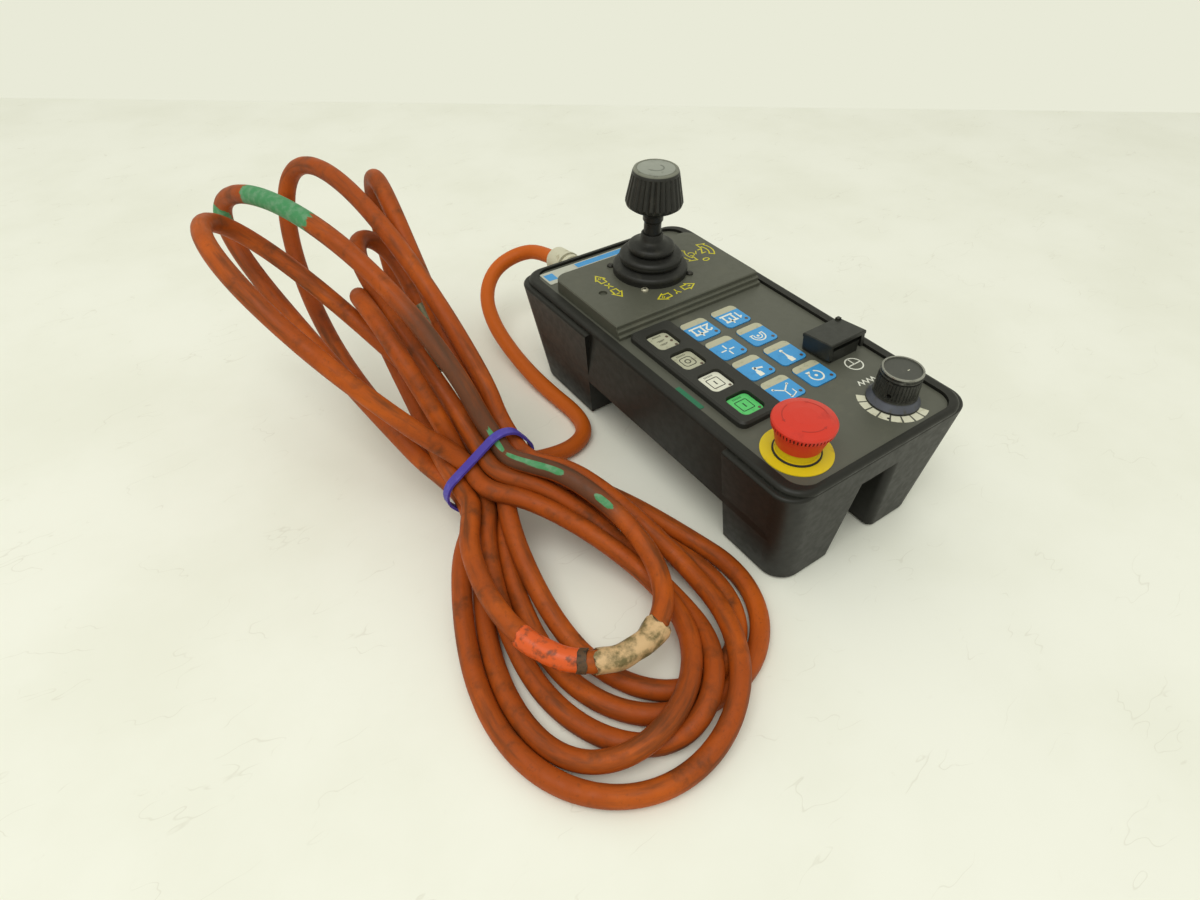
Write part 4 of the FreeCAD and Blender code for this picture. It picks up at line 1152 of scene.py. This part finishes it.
    def wrap(self, tape: Tape, line: np.ndarray) -> bpy.types.Object:
        """Winds a creased sleeve of tape round part of the cable.

        Args:
            tape: which tape.
            line: the cable's centre line.
        Returns:
            The tape, riding with the cable.
        """
        low, high = (self.station(self.taped_turn, share, line) for share in (tape.start, tape.end))
        part = line[low:max(high, low + 2) + 1]
        ring = self.ring()
        place = np.arange(len(part))[:, None]
        folds = np.sin(2 * ring + 0.5 * place) * np.sin(3 * ring - 0.3 * place + 1.0)
        flare = tape.flare * smooth(1 - place / self.open_end) * (1 + np.cos(ring - 2.0)) / 2
        radii = self.diameter / 2 + tape.proud + tape.crease * folds + flare
        made = self.tube(tape.name, part, radii, tape.finish.material())
        torn = tape.ragged * MM * (np.sin(3 * ring + 1) + 0.6 * np.sin(7 * ring))
        points = list(made.data.vertices)
        ends = ((points[:self.sides], part[1] - part[0]), (points[-self.sides:], part[-1] - part[-2]))
        for end, ahead in ends:
            for vertex, shift in zip(end, torn):
                vertex.co += Vector(ahead).normalized() * shift
        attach(made, "housing")
        return made

    def build(self) -> None:
        line = self.centreline()
        along = run_along(line)
        LOG.info("cable length %.3f m", along[-1])
        wave = 1 + sum(height * np.sin(along * pace + shift) for height, pace, shift in self.waves)
        cable = self.tube("cable", line, self.diameter / 2 * wave, CableJacket().material())
        self.stain(cable, line)
        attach(cable, "housing")
        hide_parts("cable_lead", "cable_hank")
        dress(Finishes.BAND, "hank_band")
        dress(Finishes.PLUG, "cable_connector")
        tapes = [self.wrap(tape, line) for tape in self.tapes]


# Studio

@dataclass
class Studio:
    """The plain table, the soft light and the camera, in mm."""

    camera_place: Point3 = (-306.58, -288.38, 363.10)
    camera_right: Point3 = (0.8169, -0.5766, 0.0118)
    camera_up: Point3 = (0.3880, 0.5647, 0.7284)
    focal: float = 750.95
    image_width: float = 1200.0
    table: Colour = (242, 243, 229)
    table_patch: Colour = (236, 237, 221)
    table_mark: Colour = (214, 212, 194)
    wall: Colour = (233, 234, 216)
    table_edge: float = 1080.0
    table_reach: float = 3000.0
    room_light: Colour = (250, 250, 242)
    room_strength: float = 0.70
    lamp_from: Point3 = (-900.0, -500.0, 2200.0)
    lamp_size: float = 1.8
    lamp_watts: float = 24.0

    def camera(self) -> None:
        """Sets the camera where the photograph was taken from."""
        right = Vector(self.camera_right).normalized()
        back = right.cross(Vector(self.camera_up)).normalized()
        up = back.cross(right)
        data = bpy.data.cameras.new("camera")
        data.sensor_width = 36.0
        data.lens = data.sensor_width * self.focal / self.image_width
        data.clip_start = 0.01
        made = bpy.data.objects.new("camera", data)
        turn = Matrix((right, up, back)).transposed()
        made.matrix_world = Matrix.Translation(Vector(self.camera_place) * MM) @ turn.to_4x4()
        bpy.context.scene.collection.objects.link(made)
        bpy.context.scene.camera = made

    def floor(self) -> None:
        """Lays the pale table, which ends where the wall behind it begins."""
        view = Vector((self.camera_right[1], -self.camera_right[0], 0)).normalized()
        view = -view if view.y < 0 else view
        side = Vector((view.y, -view.x, 0))
        foot = Vector((self.camera_place[0], self.camera_place[1], 0))
        far, near, wide = view * self.table_edge, -view * self.table_reach, side * self.table_reach
        corners = [foot + near - wide, foot + near + wide, foot + far + wide, foot + far - wide]
        mesh = mesh_from("table", [tuple(c) for c in corners], [[0, 1, 2, 3]], False)
        bench = Bench("table_white")
        patches = bench.step(bench.noise(160, 5), 0.35, 0.7)
        marks = bench.step(bench.noise(14, 8, 0.75), 0.62, 0.78, 0, 0.35)
        wander = bench.maths("SUBTRACT", bench.noise(90, 3, stretch=(1, 2.5, 1)), 0.5)
        threads = bench.step(bench.maths("ABSOLUTE", wander), 0.0, 0.005, 0.4, 0)
        scuffs = bench.maths("MULTIPLY", threads, bench.step(bench.noise(40), 0.5, 0.6))
        marks = bench.maths("MAXIMUM", marks, scuffs)
        colour = bench.mix(patches, linear(self.table), linear(self.table_patch))
        colour = bench.mix(marks, colour, linear(self.table_mark))
        bench.set(Base_Color=colour, Roughness=0.55, Specular_IOR_Level=0.3)
        add_object("table", mesh, bench.material)

    def room(self) -> None:
        """Lights the set evenly from all round, with the pale wall where the camera or a shine sees it."""
        world = bpy.data.worlds.new("room")
        bpy.context.scene.world = world
        world.use_nodes = True
        nodes = Nodes(world.node_tree)
        seen = nodes.node("ShaderNodeBackground", {"Color": linear(self.wall)})
        lamp = nodes.tree.nodes["Background"]
        nodes.put(lamp.inputs["Color"], linear(self.room_light))
        nodes.put(lamp.inputs["Strength"], self.room_strength)
        path = nodes.node("ShaderNodeLightPath", {}).outputs
        rays = path["Is Camera Ray"]
        for name in ("Is Glossy Ray", "Is Transmission Ray"):
            rays = nodes.maths("MAXIMUM", rays, path[name])
        choice = nodes.node("ShaderNodeMixShader", {0: rays, 1: lamp.outputs[0], 2: seen.outputs[0]})
        nodes.put(nodes.tree.nodes["World Output"].inputs["Surface"], choice.outputs[0])

    def lamp(self) -> None:
        """Hangs one broad lamp for soft shadows."""
        data = bpy.data.lights.new("soft_box", "AREA")
        data.shape = "DISK"
        data.size = self.lamp_size
        data.energy = self.lamp_watts
        box = bpy.data.objects.new("soft_box", data)
        box.location = Vector(self.lamp_from) * MM
        box.rotation_euler = (-Vector(self.lamp_from)).to_track_quat("-Z", "Y").to_euler()
        bpy.context.scene.collection.objects.link(box)

    def build(self) -> None:
        """Sets up the camera, table and light."""
        self.camera()
        self.floor()
        self.room()
        self.lamp()
        bpy.context.scene.view_settings.view_transform = "Standard"


# Controller

@dataclass
class Housing:
    """The black tub, the boards inside it and the cable gland on its back wall."""

    def build(self) -> None:
        """Dresses the tub and what it holds."""
        dress(Finishes.HOUSING, "housing_tub")
        dress(Finishes.DARK_STEEL, "panel_screws", "board_screws")
        dress(Finishes.ALLOY, "front_panel", "board_standoffs")
        dress(Finishes.BOARD, "main_board")
        dress(Finishes.GLAND, "gland_body", "gland_nut", "gland_locknut")
        dress(Finishes.SEAL, "gland_seal")


@dataclass
class Panel:
    """The grey film with its printed signs and the two label strips. Places are in mm."""

    film_top: float = 82.0
    strip_top: float = 82.3
    circle: Point2 = (45.1, -71.9)
    circle_radius: float = 5.7
    zigzag: Point2 = (38.0, -88.0)
    zigzag_pitch: float = 1.75
    zigzag_height: float = 1.7
    bold: float = 0.85
    fine: float = 0.8
    blue_square: tuple[float, ...] = (-60.0, -52.5, 118.0, 126.5)
    blue_bar: tuple[float, ...] = (-32.0, 27.0, 122.8, 128.4)

    def signs(self) -> None:
        """Prints the ringed tee and the zigzag beside the dial."""
        ringed = Print("panel_ringed_tee", Finishes.INK_WHITE, self.film_top, self.circle, READING)
        ringed.ring((0, 0), self.circle_radius, self.bold)
        ringed.line([(-self.circle_radius, 0.2), (self.circle_radius, 0.2)], self.fine)
        ringed.line([(0, 0.2), (0, -self.circle_radius)], self.fine).piece("housing")
        teeth = range(-4, 5)
        path = [(self.zigzag_pitch * i, self.zigzag_height * (1 if i % 2 else -1)) for i in teeth]
        zigzag = Print("panel_zigzag", Finishes.INK_WHITE, self.film_top, self.zigzag, -6)
        zigzag.line(path, self.bold).piece("housing")

    def build(self) -> None:
        """Dresses the film and strips and prints the signs."""
        dress(Finishes.FILM, "panel_overlay")
        dress(Finishes.LABEL_GREY, "rear_label_strip")
        dress(Finishes.LABEL_GREEN, "side_label_strip")
        blue = Print("rear_strip_blue", Finishes.KEY_BLUE, self.strip_top)
        blue.box(*self.blue_square).box(*self.blue_bar).piece("housing")
        self.signs()


@dataclass
class Joystick:
    """The stick in its bellows, on a plate with axis signs. Places are in mm."""

    centre: Point2 = (0.0, 79.0)
    plate_top: float = 91.0
    screw_pitch: float = 40.0
    screw_top: float = 92.6
    socket_radius: float = 1.05
    cap_radius: float = 12.5
    cap_base: float = 164.4
    cap_thickness: float = 0.35
    boot_seam: float = 102.6
    boot_bends: Point2 = (92.5, 114.0)      # where the lower piece's span starts and the upper piece's span ends
    ink_line: float = 0.95
    arrow: tuple[Point2, ...] = (
        (-5.2, -2.3), (-0.6, -2.3), (-0.6, -3.8), (5.2, 0), (-0.6, 3.8), (-0.6, 2.3), (-5.2, 2.3))
    twist: Point2 = (44.4, 79.6)

    def fold(self, radius: float, middle: float, half: float, depth: float) -> list[Point2]:
        """The round outside of one fold of the bellows, from its lower to its upper crease."""
        angles = [math.radians(a) for a in range(-80, 81, 16)]
        return [(radius - depth + depth * math.cos(a) ** 0.6, middle + half * math.sin(a)) for a in angles]

    def bellows(self) -> None:
        """Makes the rubber boot in two lathed pieces."""
        # Walls go up the outside and down the inside, by radius and height; a fold's middle is its point 5
        seam = self.boot_seam
        skirt = [(26.2, self.plate_top), *self.fold(26.4, 94.6, 2.9, 3.2)[3:]]
        middle = self.fold(22.2, seam, 3.4, 4.6)
        upper = [(21.9, seam), *middle[6:], *self.fold(16.4, 109.8, 3.1, 5.4)]
        neck = [(8.7, 114.2), (7.9, 115.6), (7.6, 119.4), (7.2, 120.0), (6.3, 120.0)]
        lower_wall = [*skirt, *middle[:5], (21.9, seam),
                      (19.6, seam), (19.0, 98.8), (22.8, 96.0), (22.8, self.plate_top)]
        upper_wall = [*upper, *neck, (6.3, 115.0), (12.6, 112.0), (12.6, 107.0), (19.0, 105.6), (19.6, seam)]
        base, high = self.boot_bends
        for name, wall, bodies, span in (
                ("boot_lower", lower_wall, ("housing", "gimbal"), (base, seam)),
                ("boot_upper", upper_wall, ("gimbal", "stick"), (seam, high))):
            piece = add_object(name, lathe(name, wall, self.centre), Finishes.RUBBER.material())
            start, end = (tuple(MM * v for v in (*self.centre, z)) for z in span)
            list(bodies)
            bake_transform(piece)
            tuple(start)
            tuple(end)
            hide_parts("joystick_boot")

    def screw_sockets(self) -> None:
        """Paints a dark hexagon on each of the plate's four screws as the shade in its socket."""
        tree = Growth("plate_screw_socket_shade")
        pitch = tree.size("Pitch", self.screw_pitch * MM)
        radius = tree.size("Radius", self.socket_radius * MM)
        depth = tree.size("Depth", INK * MM)
        level = tree.size("Level", (self.screw_top + INK / 2) * MM)
        sizes = {"Size X": pitch, "Size Y": pitch, "Vertices X": 2, "Vertices Y": 2}
        grid = tree.node("GeometryNodeMeshGrid", sizes).outputs[0]
        x, y = (MM * c for c in self.centre)
        middle = tree.node("ShaderNodeCombineXYZ", {"X": x, "Y": y, "Z": level}).outputs[0]
        placed = tree.node("GeometryNodeSetPosition", {"Geometry": grid, "Offset": middle}).outputs[0]
        # painted shade: a flat dark hexagon stands for the shadowed socket hollow
        socket = tree.node("GeometryNodeMeshCylinder", {"Vertices": 6, "Radius": radius, "Depth": depth})
        tree.piece(tree.on_points(placed, socket.outputs[0]), Finishes.DARK_INK_AND_SHADE, "housing")

    def axis_signs(self) -> None:
        """Prints the block arrows and letters of the two tilt axes."""
        ink = Print("plate_axis_signs", Finishes.INK_YELLOW, self.plate_top)
        for place, turn, mark in (((-37.2, 88.0), 90, "+"), ((-37.2, 66.8), -90, "-"),
                                  ((-14.0, 45.2), 180, "+"), ((8.6, 46.8), 0, "-")):
            ink.line(turned(self.arrow, place, turn), self.ink_line, True)
            ink.sign(mark, turned([(0.6, 0)], place, turn)[0], 3.0, self.ink_line)
        ink.sign("X", (-36.9, 77.6), 5.6, 1.0, READING).sign("Y", (-2.6, 46.0), 5.6, 1.0, READING)
        ink.piece("housing")

    def twist_signs(self) -> None:
        """Prints the two curved arrows, the letter and the nought of the twist axis."""
        ink = Print("plate_twist_signs", Finishes.INK_YELLOW, self.plate_top)
        inner, outer, head = 9.2, 13.0, 1.7
        for start, end in ((-44, 28), (136, 208)):
            rims = arc(self.twist, outer, start, end, 6), arc(self.twist, inner, end, start, 6)
            corners = ((outer + head, end), ((inner + outer) / 2, end + 24), (inner - head, end))
            tip = [arc(self.twist, radius, turn, turn, 1)[0] for radius, turn in corners]
            ink.line([*rims[0], *tip, *rims[1]], self.ink_line, True)
        x, y = self.twist
        ink.sign("Z", (x + 4.2, y - 0.6), 5.4, 1.0, READING)
        ink.line([(x - 2.4, y - 2.0), (x + 0.6, y + 2.0)], 0.8).ring((x - 5.4, y), 2.3, 0.8, -150, 150)
        angles = np.linspace(0, 5.76, 12)
        nought = [(x - 1.0 + 2.5 * math.cos(a), y - 11.6 + 1.7 * math.sin(a)) for a in angles]
        ink.line(nought, 0.9, True).piece("housing")

    def cap(self) -> None:
        """Lays the pale disc with a faint twist arrow into the knob's top."""
        top = self.cap_base + self.cap_thickness
        profile = [(0, self.cap_base), (self.cap_radius, self.cap_base), (self.cap_radius, top - 0.15),
                   (self.cap_radius - 0.5, top), (0, top)]
        mesh = lathe("twist_knob_cap", profile, self.centre)
        disc = add_object("twist_knob_cap", mesh, Finishes.KNOB_CAP.material())
        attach(disc, "knob")
        mark = Print("twist_knob_mark", Finishes.KNOB_MARK, top, self.centre, READING)
        mark.ring((0, 0), 5.0, 1.1, 20, 200).area([(4.0, 1.4), (5.9, 2.4), (6.2, -1.4)])
        mark.piece("knob")

    def build(self) -> None:
        """Dresses the joystick's nodes and makes its boot, cap and signs."""
        dress(Finishes.PLATE, "joystick_plate")
        dress(Finishes.PLATE_SCREW, "joystick_plate_screws")
        dress(Finishes.MECHANISM, "joystick_housing", "joystick_pots")
        dress(Finishes.ALLOY, "gimbal_ring")
        dress(Finishes.SHAFT, "stick_shaft")
        dress(Finishes.KNOB, "twist_knob")
        self.bellows()
        self.screw_sockets()
        self.axis_signs()
        self.twist_signs()
        self.cap()


@dataclass(frozen=True)
class ButtonFace:
    """What one push button looks like: its colour, frame and middle sign."""

    finish: Finishes
    ink: Finishes
    corner: float = 0.8
    ring: bool = False
    lamps: int = 1
    framed: bool = True


@dataclass
class PushButtons:
    """Four push buttons in their bezel. Places are in mm."""

    column: float = -41.7
    rows: tuple[float, ...] = (11.2, -13.4, -39.2, -64.5)
    top: float = 84.4
    lamp: Point2 = (-5.9, 6.3)
    lamp_radius: float = 1.0
    lamp_pitch: float = 5.0
    lens: float = 0.2
    frame_line: float = 0.6
    fine_line: float = 0.4
    ticks: int = 7
    frame_half: float = 4.3
    faces: tuple[ButtonFace, ...] = (
        ButtonFace(Finishes.BUTTON_GREY, Finishes.DARK_INK_AND_SHADE, lamps=3, framed=False),
        ButtonFace(Finishes.BUTTON_GREY, Finishes.DARK_INK_AND_SHADE, corner=2.2, ring=True),
        ButtonFace(Finishes.BUTTON_WHITE, Finishes.DARK_INK_AND_SHADE),
        ButtonFace(Finishes.BUTTON_GREEN, Finishes.INK_GREEN))

    def signs(self, name: str, face: ButtonFace, place: Point2, body: str) -> None:
        """Prints one button's frame and middle sign, and a row of ticks along its edge.

        Args:
            name: the button's node.
            face: what it looks like.
            place: its centre.
            body: the body that it moves with.
        """
        ink = Print(f"{name}_sign", face.ink, self.top, place, READING)
        if face.framed:
            ink.line(rounded(self.frame_half, self.frame_half, face.corner), self.frame_line, True)
            if face.ring:
                ink.ring((0, 0), 1.8, 0.7)
            else:
                ink.box(-0.45, 0.45, -1.8, 1.8)
        else:
            for level in (-2.2, 1.6):
                ink.line([(-2.6, level), (3.4, level)], self.fine_line)
                ink.line([(-1.4, level + 0.9), (2.4, level + 0.9)], self.fine_line)
        for i in range(self.ticks):
            ink.box(-3.0 + i, -2.6 + i, -7.4, -6.0)
        ink.piece(body)

    def lamps(self, name: str, face: ButtonFace, place: Point2, body: str) -> None:
        """Sets the small smoked lamps along one edge of a button.

        Args:
            name: the button's node.
            face: what it looks like.
            place: its centre.
            body: the body that it moves with.
        """
        dots = Print(f"{name}_lamp", Finishes.LENS, self.top, place, READING, self.lens)
        for i in range(face.lamps):
            dots.disc((self.lamp[0], self.lamp[1] - self.lamp_pitch * i), self.lamp_radius)
        dots.piece(body)

    def build(self) -> None:
        """Dresses the bezel and each button."""
        dress(Finishes.BEZEL, "button_bezel")
        dress(Finishes.MECHANISM, "button_housings")
        for number, (face, row) in enumerate(zip(self.faces, self.rows), 1):
            node, body, place = f"push_button_{number}", f"button_{number}", (self.column, row)
            dress(face.finish, node)
            self.signs(node, face, place, body)
            self.lamps(node, face, place, body)


class KeySign(Enum):
    """The white sign on each membrane key."""

    PORTAL_2 = 1
    CROSS = 2
    BENT_PROBE = 3
    AXES = 4
    PORTAL_1 = 5
    WAVES = 6
    STRAIGHT_PROBE = 7
    TURN = 8


@dataclass
class Keypad:
    """Eight membrane keys, blue with a beige strip and a lamp. Places are in mm."""

    columns: tuple[float, float] = (-10.25, 16.75)
    first_row: float = 11.0
    pitch: float = 25.2
    rows: int = 4
    half: Point2 = (10.25, 10.5)
    corner: float = 3.4
    top: float = 82.6
    strip_edge: float = -5.0
    lamp: Point2 = (-7.4, 7.4)
    lamp_radius: float = 1.15
    lens: float = 0.15
    middle: Point2 = (0.6, 2.4)

    def strip(self, name: str, place: Point2, body: str) -> None:
        """Prints the beige strip along the edge nearest to the joystick.

        Args:
            name: the key's node.
            place: its centre.
            body: the body that it moves with.
        """
        outline = [p for p in rounded(self.half[0], self.half[1], self.corner) if p[1] < self.strip_edge]
        outline += [(self.half[0], self.strip_edge), (-self.half[0], self.strip_edge)]
        Print(f"{name}_strip", Finishes.KEY_BEIGE, self.top, place, READING).area(outline).piece(body)

    def portal(self, ink: Print, number: str) -> None:
        """Draws a portal machine with a number beside it.

        Args:
            ink: the key's print.
            number: the number.
        """
        u, v = self.middle
        ink.box(u - 3.6, u + 7.2, v - 5.6, v - 4.2).box(u - 2.6, u - 1.2, v - 4.2, v + 1.4)
        ink.box(u + 4.8, u + 6.2, v - 4.2, v + 1.4).box(u - 3.4, u + 7.0, v + 1.4, v + 3.0)
        ink.box(u + 1.2, u + 2.4, v - 1.8, v + 5.0).sign(number, (u - 6.2, v - 1.4), 6.4, 1.2)

    def probe(self, ink: Print, bent: bool) -> None:
        """Draws a touch probe.

        Args:
            ink: the key's print.
            bent: whether it has a bent arm instead of a straight stem.
        """
        u, v = self.middle
        neck = turned([(-1.3, 2.4), (1.3, 2.4), (0.6, -0.6), (-0.6, -0.6)], self.middle, 0)
        ink.box(u - 1.9, u + 1.9, v + 2.4, v + 6.6).area(neck)
        if bent:
            ink.disc((u, v - 1.4), 1.3).line([(u, v - 1.4), (u - 5.6, v + 0.4)], 1.5)
        else:
            ink.box(u - 0.5, u + 0.5, v - 4.4, v - 0.6).disc((u, v - 5.0), 1.25)

    def sign(self, kind: KeySign, ink: Print) -> None:
        """Draws the white sign of one key.

        Args:
            kind: which sign.
            ink: the key's print.
        """
        u, v = self.middle
        if kind in (KeySign.PORTAL_1, KeySign.PORTAL_2):
            self.portal(ink, "1" if kind is KeySign.PORTAL_1 else "2")
        elif kind in (KeySign.BENT_PROBE, KeySign.STRAIGHT_PROBE):
            self.probe(ink, kind is KeySign.BENT_PROBE)
        elif kind is KeySign.CROSS:
            for turn in range(4):
                c, s = round(math.cos(turn * math.pi / 2)), round(math.sin(turn * math.pi / 2))
                ink.line([(u + 1.2 * c, v + 1.2 * s), (u + 5.4 * c, v + 5.4 * s)], 1.0)
        elif kind is KeySign.WAVES:
            source = (u, v - 0.6)
            ink.disc(source, 1.0).ring(source, 2.8, 0.8, -30, 210).ring(source, 5.0, 0.9, -20, 200)
            for start in (u - 5.6, u + 2.6):
                ink.line([(start, v - 2.6), (start + 3.0, v - 2.6)], 0.9)
        elif kind is KeySign.TURN:
            ink.disc((u, v), 1.1).ring((u, v), 4.6, 1.1, -50, 250)
            ink.area([(u + 1.0, v - 4.9), (u + 4.6, v - 5.4), (u + 3.2, v - 2.0)])
        else:
            for end in ((u, v + 6.0), (u + 5.8, v - 4.4), (u - 5.8, v - 4.4)):
                ink.line([(u, v), end], 0.9).disc(end, 0.9)
            ink.line([(u - 5.0, v + 1.0), (u - 5.0, v + 4.6), (u - 1.2, v + 6.2)], 0.7)

    def build(self) -> None:
        """Dresses each key and prints its strip, sign and lamp."""
        dress(Finishes.BOARD, "keypad_board")
        dress(Finishes.ALLOY, "key_domes")
        for kind in KeySign:
            column, row = divmod(kind.value - 1, self.rows)
            place = (self.columns[column], self.first_row - self.pitch * row)
            node, body = f"membrane_key_{kind.value}", f"key_{kind.value}"
            dress(Finishes.KEY_BLUE, node)
            self.strip(node, place, body)
            ink = Print(f"{node}_sign", Finishes.INK_WHITE, self.top, place, READING)
            self.sign(kind, ink)
            ink.piece(body)
            dot = Print(f"{node}_lamp", Finishes.LENS, self.top, place, READING, self.lens)
            dot.disc(self.lamp, self.lamp_radius).piece(body)


@dataclass
class Rocker:
    """The black rocker switch."""

    def build(self) -> None:
        """Dresses the paddle, its frame, pin and switch."""
        dress(Finishes.ROCKER, "rocker_paddle", "rocker_frame")
        dress(Finishes.DARK_STEEL, "rocker_pin")
        dress(Finishes.MECHANISM, "rocker_switch_body")


@dataclass
class StopButton:
    """The emergency stop: a red mushroom head on a yellow collar and legend ring. Places are in mm."""

    centre: Point2 = (-42.9, -107.6)
    ring_top: float = 82.5
    gasket: tuple[float, float] = (12.95, 13.9)
    gasket_height: float = 0.9
    gasket_round: float = 0.3
    mark_base: float = 106.5
    mark_radius: float = 12.4
    mark_line: float = 0.6
    mark_thickness: float = 0.25
    arrows: tuple[int, ...] = (-25, 95, 215)        # where each release arrow starts, in degrees
    arrow_sweep: int = 62
    arrow_tip: int = 72
    arrow_half: float = 0.9

    def build(self) -> None:
        """Dresses the button and makes its gasket and release arrows."""
        dress(Finishes.STOP_RED, "estop_head")
        dress(Finishes.STOP_YELLOW, "estop_body")
        dress(Finishes.LEGEND, "estop_legend_ring")
        dress(Finishes.MECHANISM, "estop_contact_block")
        dress(Finishes.DARK_STEEL, "estop_nut", "estop_stem")
        inner, outer = self.gasket
        low, high, edge = self.ring_top, self.ring_top + self.gasket_height, self.gasket_round
        profile = [(inner, low), (outer, low), (outer, high - edge), (outer - edge, high), (inner, high)]
        seal = add_object("stop_gasket", lathe("stop_gasket", profile, self.centre), Finishes.SEAL.material())
        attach(seal, "housing")
        marks = Print("stop_head_arrows", Finishes.STOP_MARK, self.mark_base, self.centre, 0,
                      self.mark_thickness)
        half, end = self.arrow_half, self.arrow_sweep
        corners = ((-half, end), (half, end), (0, self.arrow_tip))
        for start in self.arrows:
            marks.ring((0, 0), self.mark_radius, self.mark_line, start, start + end)
            marks.area([arc((0, 0), self.mark_radius + out, start + turn, start + turn, 1)[0]
                        for out, turn in corners])
        marks.piece("stop_head")


@dataclass
class Dial:
    """The override knob and the wedge scale printed round it. Places are in mm."""

    centre: Point2 = (36.9, -108.3)
    film_top: float = 82.0
    inner: float = 15.9
    outer: float = 21.2
    wedges: int = 8
    first: float = 143.0
    pitch: float = 20.6
    width: float = 17.3
    cap_top: float = 104.0
    dot_radius: float = 19.2
    dot_angle: float = 212.0

    def scale(self) -> None:
        """Prints the ring of wedges, one wedge repeated round the knob."""
        tree = Growth("dial_scale")
        count = tree.size("Wedges", self.wedges)
        inner = tree.size("Inner radius", self.inner * MM)
        outer = tree.size("Outer radius", self.outer * MM)
        width = tree.size("Wedge angle", -math.radians(self.width))
        pitch = tree.size("Pitch angle", math.radians(self.pitch))
        first = tree.size("First angle", math.radians(self.first))
        base = tree.size("Face", self.film_top * MM)
        ink = tree.size("Ink top", (self.film_top + INK) * MM)
        block = tree.node("GeometryNodeMeshCube", {"Size": (1, 1, 1), "Vertices X": 9})
        where = tree.node("ShaderNodeSeparateXYZ", {0: tree.node("GeometryNodeInputPosition", {}).outputs[0]})
        angle = tree.maths("MULTIPLY", where.outputs["X"], width)
        radius = tree.spread(where.outputs["Y"], inner, outer)
        bent = tree.node("ShaderNodeCombineXYZ", {
            "X": tree.maths("MULTIPLY", radius, tree.maths("COSINE", angle)),
            "Y": tree.maths("MULTIPLY", radius, tree.maths("SINE", angle)),
            "Z": tree.spread(where.outputs["Z"], base, ink)})
        inputs = {"Geometry": block.outputs[0], "Position": bent.outputs[0]}
        wedge = tree.node("GeometryNodeSetPosition", inputs).outputs[0]
        middle = (self.centre[0] * MM, self.centre[1] * MM, 0)
        points = tree.node("GeometryNodePoints", {"Count": count, "Position": middle}).outputs[0]
        number = tree.node("GeometryNodeInputIndex", {}).outputs[0]
        turn = tree.maths("ADD", tree.maths("MULTIPLY", number, pitch), first)
        euler = tree.node("ShaderNodeCombineXYZ", {"Z": turn})
        spin = tree.node("FunctionNodeEulerToRotation", {0: euler.outputs[0]}).outputs[0]
        tree.piece(tree.on_points(points, wedge, Rotation=spin), Finishes.INK_CREAM, "housing")

    def build(self) -> None:
        """Dresses the knob and prints its scale and marks."""
        dress(Finishes.DIAL, "override_knob")
        dress(Finishes.DIAL_RING, "override_knob_ring")
        dress(Finishes.DIAL_CAP, "override_knob_cap")
        dress(Finishes.DARK_STEEL, "override_grub_screw", "override_shaft", "override_nut")
        dress(Finishes.MECHANISM, "override_pot")
        self.scale()
        mark = Print("dial_mark", Finishes.INK_CREAM, self.cap_top, self.centre)
        mark.box(1.2, 3.0, -2.6, -2.1).piece("override")
        place = arc(self.centre, self.dot_radius, self.dot_angle, self.dot_angle, 1)[0]
        dot = Print("dial_scale_dot", Finishes.DARK_INK_AND_SHADE, self.film_top + INK, place)
        dot.disc((0, 0), 0.8).piece("housing")


def main() -> None:
    """Builds every sub-assembly in order."""
    logging.basicConfig(level=logging.INFO, format="%(name)s %(message)s")
    kinds = (Studio, Cable, Housing, Panel, Joystick, PushButtons, Keypad, Rocker, StopButton, Dial)
    for part in (kind() for kind in kinds):
        part.build()
        LOG.info("built %s", type(part).__name__)


if __name__ == "__main__":
    main()
